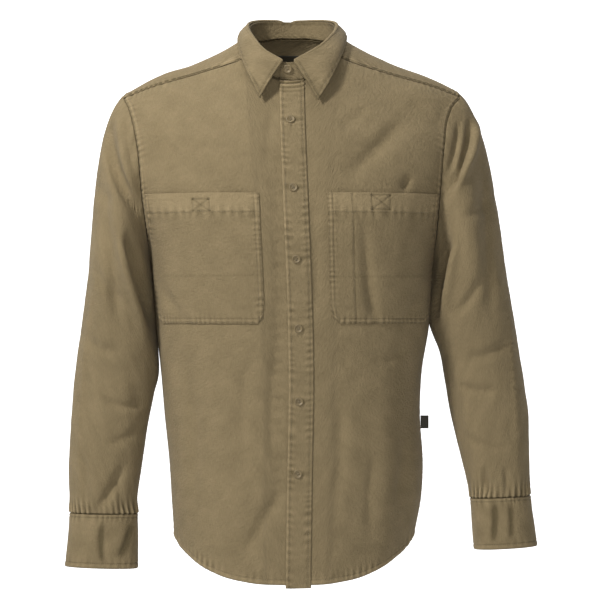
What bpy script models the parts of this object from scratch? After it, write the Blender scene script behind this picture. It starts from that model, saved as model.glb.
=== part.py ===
"""A button-front long-sleeve work shirt, filled out as it is worn, with nobody in it.

Lengths are in millimetres and go to metres when a mesh is made. X runs to the
wearer's left, -Y is the front and Z is up. The origin is the middle of the neck,
level with the highest point of the shoulders, where the wearer holds the shirt.
Wearer's right is at -X, and its numbers in the tables are given as half-widths.
"""

import math

import bmesh
import bpy
import numpy as np
from mathutils import Matrix, Vector

MM = 0.001
PARTS = "long_sleeve_shirt"
CUTTERS = "cutters"
RIGHT = -1
LEFT = 1
FRONT = -1
BACK = 1
FLAT = np.array([1.0, 1.0, 0.0])
UP = np.array([0.0, 0.0, 1.0])
NECK_MIDDLE = np.array([0.0, -5.0, 0.0])

# Thickness of each kind of cloth, and the space that is kept between pieces
CLOTH = 1.2
COLLAR_CLOTH = 1.5
STAND_CLOTH = 1.7
CUFF_CLOTH = 2.0
LABEL_CLOTH = 1.0
SMOOTH_EDGE = 0.4
SIDE_EDGE = 0.45
ARMHOLE_EDGE = 0.65
LIFT = 0.35

# Body
ROUNDNESS = 2.3
FRONT_ROLL = 200.0
BACK_ROLL = 120.0
ROLL_LOSS_AT_TIP = 0.42
TIP_HEIGHT = -81.0
UNDERARM_HEIGHT = -300.0
POCKET_TOP = -215.0
POCKET_BOTTOM = -391.0
YOKE_SEAM = -105.0
LEVEL_END = -580.0
PLACKET_WIDTH = 34.0
UNDER_WRAP = 24.0
UNDER_PLACKET = -2.0
BACK_HALF_COLUMNS = 8

# Neck
NECK_HALF_WIDTH = 72.0
NECK_FRONT_DROP = 62.0
NECK_SEAM_X = 64.5
NECK_BACK_HEIGHT = 6.0
TAB_SHARES = (0.0, 0.25, 0.5)
TAB_ROUND = 7.0
TAB_COLUMNS = 6
FOLD_RADIUS = 2.5
STAND_BELOW_FOLD = 3.1
STAND_RISE = 0.5
STAND_UNDER_START = 325.0
STAND_UNDER_SPAN = 20.0
COLLAR_SWELL = 3.0

# Sleeves and cuffs
CAP_ROWS = 6
SLEEVE_ROWS = 20
SLEEVE_ROUNDNESS = 2.2
CAP_PULL = 0.7
CAP_OUT = 0.75
CAP_OUT_LOSS_UNDER = 0.4
CAP_FORWARD = 0.25
CAP_DOWN = 0.66
CAP_DOWN_GAIN_UNDER = 0.28
CUFF_SIDES = 24
CUFF_LAP_SIDES = 3
CUFF_BUTTON_SIDES = 1.3
CUFF_LAP_START = math.radians(-110)
SLIT_COLUMNS = (19, 21)
SLIT_ROWS = (-7, -1)

# Buttons
BUTTON_RADIUS = 5.9
BUTTON_HEIGHT = 2.6
BUTTON_HOLE = 0.8
BUTTON_HOLE_SPACING = 1.25
BUTTON_SIDES = 16
BUTTON_GAP = 0.6
BUTTON_SHARP_ANGLE = math.radians(35)

# The turned button's outline: shares of its radius and of its height
BUTTON_PROFILE = (
    (0, 0.62),
    (0.62, 0.62),
    (0.74, 1),
    (0.9, 1),
    (1, 0.6),
    (0.86, 0),
    (0, 0),
)

COTTON = (0.245, 0.187, 0.105)
BUTTON_COLOUR = (0.165, 0.12, 0.065)
LABEL_COLOUR = (0.028, 0.024, 0.012)


def smooth_curve(keys, values, at):
    """A smooth curve through values, given at rising keys and read at each place."""
    at = np.clip(np.asarray(at, float), keys[0], keys[-1])
    slopes = np.gradient(values, keys)
    low = np.clip(np.searchsorted(keys, at, side="right") - 1, 0, len(keys) - 2)
    span = keys[low + 1] - keys[low]
    t = (at - keys[low]) / span
    start = (1 + 2 * t) * (1 - t) ** 2 * values[low] + t * (1 - t) ** 2 * span * slopes[low]
    end = t * t * (3 - 2 * t) * values[low + 1] + t * t * (t - 1) * span * slopes[low + 1]
    return start + end


class Table:
    """A short table of sizes. Its first column is the key that the others are read by."""

    def __init__(self, names, rows):
        self.names = names
        self.rows = np.array(sorted(rows), float)

    def read(self, name, at):
        return smooth_curve(self.rows[:, 0], self.rows[:, self.names.index(name)], at)


# How high the shoulder's crest is at each distance from the middle
CREST = Table(
    ("out", "height", "seam_drop"),
    (
        (0, 31, 30),
        (16, 30, 30),
        (42, 19, 30),
        (72, -1, 28),
        (128, -30, 18),
        (195, -55, 12),
        (229, -73.5, 6),
        (233, -76, 5),
        (260, -92, 5),
    ),
)

# The body's sections: half-widths to the armhole or side seam, and depths at the middle
TORSO = Table(
    ("height", "right", "left", "front", "back", "share"),
    (
        (40, 233, 229, 84, 92, 0.92),
        (-62, 233, 229, 88, 100, 0.92),
        (-81, 233, 229, 93, 104, 0.915),
        (-91, 227, 220, 96, 106, 0.905),
        (-105, 222, 213.5, 100, 108, 0.90),
        (-148, 212, 206, 111, 114, 0.885),
        (-215, 205.5, 200, 122, 116, 0.915),
        (-260, 200.5, 197, 126, 112, 0.965),
        (-285, 198, 195, 126, 109, 0.99),
        (-300, 197, 194, 125, 107, 1.0),
        (-359, 191.5, 190, 122, 101, 1.0),
        (-391, 189, 188, 120, 98, 1.0),
        (-457, 182, 177.5, 117, 95, 1.0),
        (-515, 177, 175, 117, 99, 1.0),
        (-585, 170, 179, 119, 105, 1.0),
        (-626, 167.5, 177, 121, 109, 1.0),
        (-694, 163, 165, 123, 113, 1.0),
        (-750, 160, 160, 124, 114, 1.0),
    ),
)

# The placket's free edge, which wanders as it hangs
PLACKET_EDGE = Table(
    ("height", "x"),
    ((-40, -18), (-69, -18), (-221, -13), (-340, -8), (-469, -5.5), (-600, -7.5), (-751, -9.7)),
)

# The shirttail hem by its share of the way from the middle to the side seam
HEM = Table(
    ("share", "front", "back"),
    (
        (0, -741, -748),
        (0.35, -738, -746),
        (0.62, -728, -738),
        (0.85, -708, -716),
        (0.96, -692, -692),
        (1, -682, -682),
    ),
)

# Sleeve sections from the upper arm to the cuff: outer and inner points of the front view
SLEEVE_NAMES = ("row", "outer_x", "outer_z", "inner_x", "inner_z", "middle_y", "depth")
SLEEVE = {
    RIGHT: Table(
        SLEEVE_NAMES,
        (
            (0, 283, -330, 195.2, -336, 2, 76),
            (1, 291, -392, 190.6, -396, 0, 62),
            (2, 299.5, -453, 185.2, -455, -4, 50),
            (3, 302.5, -488, 192, -489, -7, 46),
            (4, 305, -528, 200, -529, -11, 42),
            (5, 308, -585, 208, -586, -16, 40),
            (6, 306.5, -632, 214, -630, -20, 37),
            (7, 306, -650, 213, -651, -21, 34),
        ),
    ),
    LEFT: Table(
        SLEEVE_NAMES,
        (
            (0, 295, -330, 194.6, -336, 2, 76),
            (1, 305, -388, 191.8, -386, 0, 62),
            (2, 313, -440, 204, -430, -3, 50),
            (3, 319, -480, 210, -470, -6, 46),
            (4, 324, -520, 217, -513, -10, 42),
            (5, 324.5, -575, 232, -577, -16, 40),
            (6, 325, -610, 241, -614, -19, 38),
            (7, 325.7, -626, 243.5, -630, -20, 36),
        ),
    ),
}

# Cuffs, from the seam down to the edge, with the sleeve sections' columns
CUFF = {
    RIGHT: Table(
        SLEEVE_NAMES,
        (
            (0, 306, -650.5, 212.8, -651.5, -21, 34),
            (1, 309, -686, 212.3, -688, -23, 33),
            (2, 313, -723, 212.5, -726, -25, 32.5),
        ),
    ),
    LEFT: Table(
        SLEEVE_NAMES,
        (
            (0, 325.8, -626.5, 243.4, -630.5, -20, 36),
            (1, 330.5, -660, 245.4, -665, -22, 36),
            (2, 335, -695, 248, -700, -24, 36),
        ),
    ),
}
CUFF_ROWS = 3

# Folds, a row each: x0, z0, x1, z1, x2 and z2, which are three points of the front view
# on the fold's way, then half_width and depth. The depth is negative for a ridge.
BODY_FOLDS = {
    FRONT: (
        (-24, -110, -19, -420, -22, -735, 9, 2.5),
        (160, -500, 154, -600, 146, -720, 16, 4.5),
        (120, -470, 128, -600, 118, -730, 14, -3.0),
        (72, -195, 120, -150, 175, -97, 16, 3.5),
        (157, -192, 152, -202, 147, -211, 7, 3.0),
        (-11, -610, -50, -665, -73, -720, 18, 3.5),
        (-150, -420, -120, -540, -128, -700, 22, 3.0),
        (90, -300, 101, -345, 109, -388, 10, 3.0),
        (-186, -130, -160, -170, -120, -195, 18, 3.0),
    ),
    BACK: (
        (-60, -130, -66, -400, -80, -735, 20, 4.0),
        (64, -130, 60, -420, 88, -735, 22, 4.5),
        (0, -420, 8, -560, -6, -735, 22, -3.0),
        (-185, -190, -150, -270, -120, -400, 18, 5.0),
        (183, -190, 150, -280, 112, -410, 18, 5.0),
        (-140, -470, -130, -600, -140, -700, 18, 4.0),
        (136, -480, 132, -600, 138, -700, 16, 4.0),
    ),
}
SLEEVE_FOLDS = {
    (RIGHT, FRONT): (
        (-250, -99, -248, -165, -206, -249, 10, 11.0),
        (-237, -272, -214, -355, -195, -440, 8, -4.0),
        (-218, -285, -200, -345, -188, -420, 9, 9.0),
        (-266, -174, -250, -300, -237, -400, 15, 5.0),
        (-222, -470, -212, -490, -205, -520, 9, 4.0),
        (-229, -580, -248, -618, -268, -646, 9, 4.0),
        (-228, -110, -222, -170, -214, -225, 8, -3.0),
    ),
    (RIGHT, BACK): (
        (-246, -110, -240, -190, -212, -262, 12, 8.0),
        (-268, -240, -262, -330, -236, -420, 14, 6.0),
        (-222, -300, -225, -380, -262, -470, 12, 5.0),
        (-290, -440, -262, -480, -226, -500, 12, 5.0),
        (-270, -560, -262, -610, -255, -646, 9, 4.0),
    ),
    (LEFT, FRONT): (
        (224, -118, 214, -172, 206, -216, 9, 9.0),
        (250, -104, 243, -165, 211, -218, 8, -4.0),
        (206, -242, 200, -317, 196, -379, 8, 8.0),
        (221, -272, 210, -331, 203, -386, 8, -4.0),
        (254, -152, 262, -270, 268, -400, 13, 6.0),
        (212, -440, 226, -520, 240, -590, 8, 3.5),
        (262, -590, 262, -610, 258, -626, 6, 3.5),
        (300, -380, 307, -480, 308, -620, 6, -2.0),
    ),
    (LEFT, BACK): (
        (246, -108, 238, -190, 210, -258, 12, 8.0),
        (276, -230, 264, -320, 232, -400, 14, 6.0),
        (222, -300, 240, -390, 285, -460, 12, 5.0),
        (304, -430, 280, -480, 240, -500, 12, 5.0),
        (288, -540, 284, -590, 280, -622, 9, 4.0),
    ),
}
FOLD_STEPS = 40
FOLD_CALM_EDGE = 18.0
FOLD_END = 0.1

# The collar's fold line and its free edge, by the angle round the neck from the front
COLLAR = Table(
    ("angle", "fold_x", "fold_y", "fold_z", "edge_x", "edge_y", "edge_z"),
    (
        (4, 1.4, -79, -33, 34.5, -94, -89),
        (32, 36, -65, -12, 53, -80, -58),
        (58, 53, -42, 5, 67.6, -51, -25),
        (92, 61, 0, 22, 75, 0, 2.5),
        (138, 45, 44, 32, 60, 58, -1),
        (180, 0, 61, 33, 0, 84, -9),
        (222, -47, 44, 32, -62, 58, -1),
        (268, -63, 0, 21, -77, 0, 1.5),
        (302, -55, -42, 3, -72, -51, -27),
        (328, -38, -66, -18, -59, -80, -57),
        (350, -13.8, -79, -33, -44.7, -93, -86),
    ),
)
COLLAR_COLUMNS = 28

# Left front's columns lie past the placket, and right front's past its free edge
FRONT_SHARES = {
    RIGHT: (0, 0.159, 0.209, 0.35, 0.50, 0.63, 0.75, 0.86, 0.93, 0.974, 1),
    LEFT: (0, 0.141, 0.2235, 0.36, 0.50, 0.63, 0.75, 0.86, 0.94, 0.983, 1),
}
NECK_COLUMN = 2
POCKET_COLUMNS = (1, 9)
ARMHOLE_HEIGHTS = (-81, -88, -105, -125, -148, -170, -193, -215, -238, -260, -280, -293, -300)
SIDE_HEIGHTS = (-335, -363, -391, -425, -460, -500, -540, -580, -620, -656, -682)
YOKE_CORNER = 2

# Buttons down the placket, by height, and how far each is from the placket's free edge
BUTTON_HEIGHTS = (-116, -208, -304, -397, -495, -592)
BUTTON_INSET = 14.0
STAND_BUTTON = (-7.0, -46.0)
SIDE_LABEL = (18.0, 11.0, -527.0)
NECK_LABEL = (46.0, 24.0)
NECK_LABEL_TOP = -16.0
NECK_LABEL_X = -2.5
POCKET_CORNER = 0.3
PLACKET_DROP = 4.0


def crest(x):
    return CREST.read("height", np.abs(x))


def side_edge(side, z):
    """Half-width of the front and back where they meet the sleeve or each other."""
    return TORSO.read("right" if side == RIGHT else "left", z)


def half_width(x, z):
    """Half-width of the whole section, also where the armhole cuts its side off."""
    edge = np.where(np.asarray(x) < 0, side_edge(RIGHT, z), side_edge(LEFT, z))
    return edge / TORSO.read("share", z)


def path_through(start, middle, end, along):
    control = 2 * middle - (start + end) / 2
    return (1 - along) ** 2 * start + 2 * along * (1 - along) * control + along**2 * end


def fold_depth(folds, x, z):
    """How far a piece's folds push it in at each point of its front view."""
    along = np.linspace(0, 1, FOLD_STEPS)
    total = np.zeros(np.broadcast(x, z).shape)
    for x0, z0, x1, z1, x2, z2, width, depth in folds:
        path_x = path_through(x0, x1, x2, along)
        path_z = path_through(z0, z1, z2, along)
        gap = np.hypot(np.asarray(x)[..., None] - path_x, np.asarray(z)[..., None] - path_z)
        fade = np.sin(math.pi * (FOLD_END + (1 - 2 * FOLD_END) * along[gap.argmin(-1)]))
        total += depth * fade * np.exp(-((gap.min(-1) / width) ** 2))
    return total


def roll_height(x, facing):
    """How far down the cloth rolls over the shoulder before it hangs; less at the tips."""
    full = FRONT_ROLL if facing == FRONT else BACK_ROLL
    out = np.clip(np.abs(x) / side_edge(RIGHT, TIP_HEIGHT), 0, 1)
    return full * (1 - ROLL_LOSS_AT_TIP * out**2)


def body_y(x, z, facing):
    """The body's surface in front or behind, over a point of the front view."""
    share = np.clip(np.abs(x) / half_width(x, z), 0, 1)
    depth = TORSO.read("front" if facing == FRONT else "back", z)
    depth = depth * (1 - share**ROUNDNESS) ** (1 / ROUNDNESS)
    rise = np.clip((crest(x) - z) / roll_height(x, facing), 0, 1)
    depth = depth * np.sqrt(1 - (1 - rise) ** 2)
    edge = np.where(x < 0, side_edge(RIGHT, z), side_edge(LEFT, z))
    calm = np.clip((edge - np.abs(x)) / FOLD_CALM_EDGE, 0, 1) * np.clip(rise * 3, 0, 1)
    return facing * (depth - fold_depth(BODY_FOLDS[facing], x, z) * calm)


def body_points(x, z, facing):
    x, z = np.broadcast_arrays(np.asarray(x, float), np.asarray(z, float))
    return np.stack([x, body_y(x, z, facing), z], axis=-1)


def neckline(x):
    """Height of the front neckline."""
    return -NECK_FRONT_DROP * np.sqrt(np.clip(1 - (np.asarray(x) / NECK_HALF_WIDTH) ** 2, 0, 1))


def front_grid(side):
    """One front: columns from its free edge to the side, rows from the top to the hem."""
    heights = np.array(ARMHOLE_HEIGHTS + SIDE_HEIGHTS, float)
    level = ARMHOLE_HEIGHTS.index(POCKET_TOP)
    columns = []
    if side == LEFT:
        columns = [(0.0, 0.0), (PLACKET_WIDTH / 2, 0.0)]
        start = PLACKET_WIDTH
    else:
        columns = [(UNDER_WRAP, 0.0), (UNDER_WRAP / 2, 0.0)]
        start = UNDER_PLACKET
    columns += [(start, share) for share in FRONT_SHARES[side]]

    def across(offset, share, z):
        free = PLACKET_EDGE.read("x", z) + offset
        return free + share * (side * side_edge(side, z) - free)

    grid = []
    for offset, share in columns:
        top_x = across(offset, share, TIP_HEIGHT)
        neck = abs(top_x) < NECK_SEAM_X
        top = neckline(top_x) if neck else crest(top_x) - CREST.read("seam_drop", abs(top_x))
        if share == FRONT_SHARES[side][NECK_COLUMN]:
            top_x = side * NECK_SEAM_X
            top = neckline(top_x)
        drop = (heights[: level + 1] - TIP_HEIGHT) / (POCKET_TOP - TIP_HEIGHT)
        z = heights.copy()
        z[: level + 1] = top + (POCKET_TOP - top) * drop
        hem_share = abs(across(offset, share, LEVEL_END)) / side_edge(side, LEVEL_END)
        hem = HEM.read("front", hem_share)
        low = heights < LEVEL_END
        z[low] = LEVEL_END + (heights[low] - LEVEL_END) / (heights[-1] - LEVEL_END) * (hem - LEVEL_END)
        x = across(offset, share, np.minimum(z, TIP_HEIGHT))
        if share == FRONT_SHARES[side][NECK_COLUMN]:
            x = x + (top_x - x[0]) * np.clip(1 - np.arange(len(z)) / level, 0, 1)
        if share == 1:
            z[: level + 1] = heights[: level + 1]
            x = side * side_edge(side, z)
        points = body_points(x, z, FRONT)
        if share == 1:
            points[z <= UNDERARM_HEIGHT, 1] = 0
        grid.append(points)
    grid = np.array(grid).transpose(1, 0, 2)
    if side == RIGHT:
        grid[:, :3, 1] += CLOTH + 2 * LIFT
    return grid


def armhole_loop(side):
    """The armhole from the end of the shoulder seam down the front and up the back."""
    heights = np.array(ARMHOLE_HEIGHTS, float)
    down = body_points(side * side_edge(side, heights), heights, FRONT)
    down[-1, 1] = 0
    up = heights[1:-1][::-1]
    back = body_points(side * side_edge(side, up), up, BACK)
    tip = side_edge(side, TIP_HEIGHT)
    top = np.array([[side * tip, 0, crest(tip)]])
    return np.concatenate([down, back, top])


def shoulder_seam(side):
    """The seam from the neck to the shoulder's tip, at the front's own points."""
    return front_grid(side)[0, 2 + NECK_COLUMN :]


def yoke_seam_x():
    steps = np.sin(np.linspace(-1, 1, 2 * BACK_HALF_COLUMNS + 1) * math.pi / 2)
    width = np.where(steps < 0, side_edge(RIGHT, YOKE_SEAM), side_edge(LEFT, YOKE_SEAM))
    return steps * width


def roll_angle(x, z, facing):
    """Angle over the shoulder from its crest; past a right angle it counts on downward."""
    rise = max((crest(x) - z) / roll_height(x, facing), 0)
    return facing * (math.acos(1 - rise) if rise < 1 else math.pi / 2 + rise - 1)


def over_shoulder(x, angle):
    """The body's surface at an angle over the shoulder."""
    facing = FRONT if angle < 0 else BACK
    size = abs(angle)
    rise = 1 - math.cos(size) if size < math.pi / 2 else 1 + size - math.pi / 2
    z = crest(x) - roll_height(x, facing) * rise
    return np.array([x, body_y(x, z, facing), z])


def yoke_grid():
    """The yoke: columns from the neck outward, in turn from one front seam to the other."""
    outer = []
    for side in (RIGHT, LEFT):
        tip = side_edge(side, TIP_HEIGHT)
        corner = side_edge(side, ARMHOLE_HEIGHTS[1])
        ends = [
            (side * tip, roll_angle(tip, TIP_HEIGHT, FRONT)),
            (side * tip, 0.0),
            (side * corner, roll_angle(corner, ARMHOLE_HEIGHTS[1], BACK)),
        ]
        if side == RIGHT:
            outer += ends + [(x, roll_angle(x, YOKE_SEAM, BACK)) for x in yoke_seam_x()]
        else:
            outer += ends[::-1]
    seams = {side: shoulder_seam(side) for side in (RIGHT, LEFT)}
    rows = len(seams[RIGHT]) - 1
    seam_turn = math.acos(NECK_SEAM_X / NECK_HALF_WIDTH)
    front_reach = roll_angle(NECK_SEAM_X, neckline(NECK_SEAM_X), FRONT) / math.sin(seam_turn)
    back_reach = roll_angle(0, NECK_BACK_HEIGHT, BACK)
    grid = []
    for (out_x, out_angle), share in zip(outer, np.linspace(-1, 1, len(outer))):
        turn = -seam_turn + (math.pi / 2 + seam_turn) * (1 - abs(share))
        neck_x = math.copysign(NECK_HALF_WIDTH * math.cos(turn), share)
        neck_angle = (back_reach if turn > 0 else -front_reach) * math.sin(turn)
        line = []
        for step in np.linspace(0, 1, rows + 1):
            x = neck_x + (out_x - neck_x) * step
            line.append(over_shoulder(x, neck_angle + (out_angle - neck_angle) * step))
        grid.append(line)
    grid = np.array(grid)
    grid[0] = seams[RIGHT]
    grid[-1] = seams[LEFT]
    return grid


def back_grid():
    """The back: columns from side to side, rows from the yoke's seam to the hem."""
    heights = np.array(ARMHOLE_HEIGHTS[YOKE_CORNER:] + SIDE_HEIGHTS, float)
    grid = []
    for top_x in yoke_seam_x():
        side = RIGHT if top_x < 0 else LEFT
        share = abs(top_x) / side_edge(side, YOKE_SEAM)
        z = heights.copy()
        low = heights < LEVEL_END
        hem = HEM.read("back", share)
        z[low] = LEVEL_END + (heights[low] - LEVEL_END) / (heights[-1] - LEVEL_END) * (hem - LEVEL_END)
        x = side * share * side_edge(side, z)
        points = body_points(x, z, BACK)
        if share > 0.999:
            points[z <= UNDERARM_HEIGHT, 1] = 0
        grid.append(points)
    return np.array(grid).transpose(1, 0, 2)


def ring(table, side, row, angles):
    """One section of a sleeve or cuff, from its outer point by the front to its inner one."""
    size = {name: float(table.read(name, row)) for name in table.names[1:]}
    outer = np.array([side * size["outer_x"], size["middle_y"], size["outer_z"]])
    inner = np.array([side * size["inner_x"], size["middle_y"], size["inner_z"]])
    middle = (outer + inner) / 2
    power = 2 / SLEEVE_ROUNDNESS
    across = np.sign(np.cos(angles)) * np.abs(np.cos(angles)) ** power
    deep = np.sign(np.sin(angles)) * np.abs(np.sin(angles)) ** power
    points = middle + across[:, None] * (outer - inner) / 2
    points = points + deep[:, None] * np.array([0, -size["depth"], 0])
    return points, middle


def sleeve_grid(side):
    """A sleeve: rings of points from the armhole to the cuff."""
    loop = armhole_loop(side)
    count = len(loop)
    angles = (np.arange(count) + 0.5) * 2 * math.pi / count
    table = SLEEVE[side]
    last = table.rows[-1, 0]
    first, _ = ring(table, side, 0, angles)
    second, _ = ring(table, side, 0.25, angles)
    under = (1 - np.cos(angles)) / 2
    out = side * (CAP_OUT - CAP_OUT_LOSS_UNDER * under)
    down = -CAP_DOWN - CAP_DOWN_GAIN_UNDER * under
    leave = np.stack([out, -CAP_FORWARD * np.sin(angles), down], axis=-1)
    leave /= np.linalg.norm(leave, axis=1)[:, None]
    arrive = second - first
    arrive /= np.linalg.norm(arrive, axis=1)[:, None]
    reach = CAP_PULL * np.linalg.norm(first - loop, axis=1)[:, None]
    grid = []
    middles = []
    for t in np.linspace(0, 1, CAP_ROWS + 1)[:-1]:
        points = (
            (1 + 2 * t) * (1 - t) ** 2 * loop
            + t * (1 - t) ** 2 * reach * leave
            + t * t * (3 - 2 * t) * first
            + t * t * (t - 1) * reach * arrive
        )
        grid.append(points)
        middles.append(points.mean(0))
    for row in np.linspace(0, last, SLEEVE_ROWS):
        points, middle = ring(table, side, row, angles)
        grid.append(points)
        middles.append(middle)
    grid = np.array(grid)
    middles = np.array(middles)[:, None]
    push = np.where(
        np.sin(angles) > 0,
        fold_depth(SLEEVE_FOLDS[side, FRONT], grid[..., 0], grid[..., 2]),
        fold_depth(SLEEVE_FOLDS[side, BACK], grid[..., 0], grid[..., 2]),
    )
    calm = np.clip(np.arange(len(grid)) / 2, 0, 1)[:, None] * np.abs(np.sin(angles)) ** 0.5
    inward = middles - grid
    inward /= np.linalg.norm(inward, axis=-1)[..., None]
    return grid + inward * (push * calm)[..., None]


def cuff_grid(side):
    """A cuff: a band round the wrist whose ends lap at the back."""
    step = 2 * math.pi / CUFF_SIDES
    turned = np.arange(CUFF_SIDES + CUFF_LAP_SIDES + 1) * step
    under = np.clip((CUFF_LAP_SIDES + 2) - turned / step, 0, 2) / 2
    grid = []
    for row in range(CUFF_ROWS):
        points, middle = ring(CUFF[side], side, row, CUFF_LAP_START + turned)
        inward = (middle - points) * FLAT
        inward /= np.linalg.norm(inward, axis=1)[:, None]
        grid.append(points + inward * under[:, None] * (CUFF_CLOTH + 2 * LIFT))
    return np.array(grid)


def neck_loop():
    """The whole neckline, from left front's free edge round the back to right front's."""
    left = front_grid(LEFT)[0, : 2 + NECK_COLUMN]
    right = front_grid(RIGHT)[0, : 2 + NECK_COLUMN]
    yoke = yoke_grid()[::-1, 0]
    return np.concatenate([left, yoke, right[::-1]])


def neck_angle(points):
    """Angle round the neck from the front by the wearer's left, rising along the loop."""
    turn = np.degrees(np.arctan2(points[:, 0], -points[:, 1]))
    late = np.arange(len(points)) > len(points) // 2
    turn = np.where((turn < -30) | (late & (turn < 60)), turn + 360, turn)
    return turn


def fold_line(angle):
    """The collar's fold at each angle, with the gap between its leaves bridged."""
    keys = COLLAR.rows[:, 0]
    keys = np.concatenate([keys[-2:] - 360, keys, keys[:2] + 360])
    line = []
    for name in ("fold_x", "fold_y", "fold_z"):
        values = COLLAR.rows[:, COLLAR.names.index(name)]
        values = np.concatenate([values[-2:], values, values[:2]])
        line.append(smooth_curve(keys, values, angle))
    return np.stack(line, axis=-1)


def away_from_neck(points):
    outward = (points - NECK_MIDDLE) * FLAT
    return outward / np.linalg.norm(outward, axis=1)[:, None]


def stand_grid():
    """The collar stand, whose ends lap at the front, from the neckline up."""
    base = neck_loop()
    tab = base[0] + (base[1] - base[0]) * np.array(TAB_SHARES)[:, None]
    base = np.concatenate([tab, base[1:]])
    turn = neck_angle(base)
    top = fold_line(turn)
    outward = away_from_neck(top)
    top = top - (outward + UP) * STAND_BELOW_FOLD
    top[:, 2] -= np.clip(1 - np.arange(len(base)) / 3, 0, 1) ** 2 * TAB_ROUND
    inner = np.clip((turn - STAND_UNDER_START) / STAND_UNDER_SPAN, 0, 1)[:, None] * (STAND_CLOTH + LIFT)
    top = top - outward * inner
    base = base - away_from_neck(base) * inner + UP * STAND_RISE
    return np.array([base + (top - base) * share for share in (0, 0.5, 1)])


def collar_grid():
    """The collar: up from the stand, over its fold and down to its free edge."""
    angle = np.linspace(COLLAR.rows[0, 0], COLLAR.rows[-1, 0], COLLAR_COLUMNS + 1)
    fold = np.stack([COLLAR.read(name, angle) for name in ("fold_x", "fold_y", "fold_z")], axis=-1)
    edge = np.stack([COLLAR.read(name, angle) for name in ("edge_x", "edge_y", "edge_z")], axis=-1)
    outward = away_from_neck(fold)
    grid = []
    for turn in np.radians((180, 135, 90, 45, 0)):
        grid.append(fold + (outward * (math.cos(turn) - 0.2) + UP * (math.sin(turn) - 1)) * FOLD_RADIUS)
    start = grid[-1]
    for share in (0.2, 0.4, 0.6, 0.8, 1.0):
        grid.append(start + (edge - start) * share + outward * COLLAR_SWELL * math.sin(share * math.pi))
    return np.array(grid)


def outward_normals(grid, toward):
    """Direction out of the cloth at each point of a grid, on the side that is named."""
    normal = np.cross(np.gradient(grid, axis=1), np.gradient(grid, axis=0))
    normal /= np.linalg.norm(normal, axis=-1)[..., None]
    return normal if (normal @ np.array(toward)).sum() > 0 else -normal


def lifted(grid, toward, distance):
    return grid + outward_normals(grid, toward) * distance


def inset(grid, first_row=0.0, last_row=0.0, first_column=0.0, last_column=0.0):
    """Moves a grid's edges in along the cloth, each by its own distance."""
    moved = grid.copy()

    def toward(edge, inner, distance):
        step = inner - edge
        return edge + step / np.linalg.norm(step, axis=-1)[..., None] * distance

    moved[0] = toward(moved[0], moved[1], first_row)
    moved[-1] = toward(moved[-1], moved[-2], last_row)
    moved[:, 0] = toward(moved[:, 0], moved[:, 1], first_column)
    moved[:, -1] = toward(moved[:, -1], moved[:, -2], last_column)
    return moved


def material(name, colour, roughness):
    made = bpy.data.materials.new(name)
    made.use_nodes = True
    shader = made.node_tree.nodes["Principled BSDF"]
    shader.inputs["Base Color"].default_value = (*colour, 1)
    shader.inputs["Roughness"].default_value = roughness
    shader.inputs["Metallic"].default_value = 0
    made.diffuse_color = (*colour, 1)
    return made


def cloth_object(name, grid, thickness, look, outward=None, closed=False):
    """A grid of points as one sheet of cloth, thickened inward by Solidify."""
    rows, columns = grid.shape[:2]
    mesh = bpy.data.meshes.new(name)
    sheet = bmesh.new()
    verts = [[sheet.verts.new(point * MM) for point in line] for line in grid]
    for r in range(rows - 1):
        for c in range(columns if closed else columns - 1):
            d = (c + 1) % columns
            sheet.faces.new((verts[r][c], verts[r + 1][c], verts[r + 1][d], verts[r][d]))
    sheet.normal_update()
    middle = Vector(grid.reshape(-1, 3).mean(0) * MM)
    facing = sum(f.normal.dot(outward or f.calc_center_median() - middle) for f in sheet.faces)
    if facing < 0:
        bmesh.ops.reverse_faces(sheet, faces=sheet.faces[:])
    sheet.to_mesh(mesh)
    sheet.free()
    mesh.shade_smooth()
    mesh.materials.append(look)
    piece = bpy.data.objects.new(name, mesh)
    bpy.data.collections[PARTS].objects.link(piece)
    wall = piece.modifiers.new("cloth", "SOLIDIFY")
    wall.thickness = thickness * MM
    wall.offset = -1
    return piece


def button_mesh(look):
    """A turned button with a raised rim and four holes."""
    radius = BUTTON_RADIUS
    height = BUTTON_HEIGHT
    points = [(out * radius * MM, 0, up * height * MM) for out, up in BUTTON_PROFILE]
    mesh = bpy.data.meshes.new("button_profile")
    mesh.from_pydata(points, [(i, i + 1) for i in range(len(points) - 1)], [])
    turned = bpy.data.objects.new("button_profile", mesh)
    bpy.data.collections[PARTS].objects.link(turned)
    screw = turned.modifiers.new("turn", "SCREW")
    screw.steps = BUTTON_SIDES
    screw.render_steps = BUTTON_SIDES
    screw.use_merge_vertices = True
    screw.merge_threshold = 0.0001
    drills = bmesh.new()
    for x in (-BUTTON_HOLE_SPACING, BUTTON_HOLE_SPACING):
        for y in (-BUTTON_HOLE_SPACING, BUTTON_HOLE_SPACING):
            bmesh.ops.create_cone(
                drills,
                cap_ends=True,
                segments=6,
                radius1=BUTTON_HOLE * MM,
                radius2=BUTTON_HOLE * MM,
                depth=4 * height * MM,
                matrix=Matrix.Translation(Vector((x, y, height / 2)) * MM),
            )
    cutter_mesh = bpy.data.meshes.new("button_holes")
    drills.to_mesh(cutter_mesh)
    drills.free()
    cutter = bpy.data.objects.new("button_holes", cutter_mesh)
    cutter.hide_render = True
    cutter.display_type = "WIRE"
    bpy.data.collections[CUTTERS].objects.link(cutter)
    cut = turned.modifiers.new("holes", "BOOLEAN")
    cut.object = cutter
    depsgraph = bpy.context.evaluated_depsgraph_get()
    made = bpy.data.meshes.new_from_object(turned.evaluated_get(depsgraph))
    made.name = "button"
    made.shade_smooth()
    made.set_sharp_from_angle(angle=BUTTON_SHARP_ANGLE)
    made.materials.clear()
    made.materials.append(look)
    bpy.data.objects.remove(turned)
    return made


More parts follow.
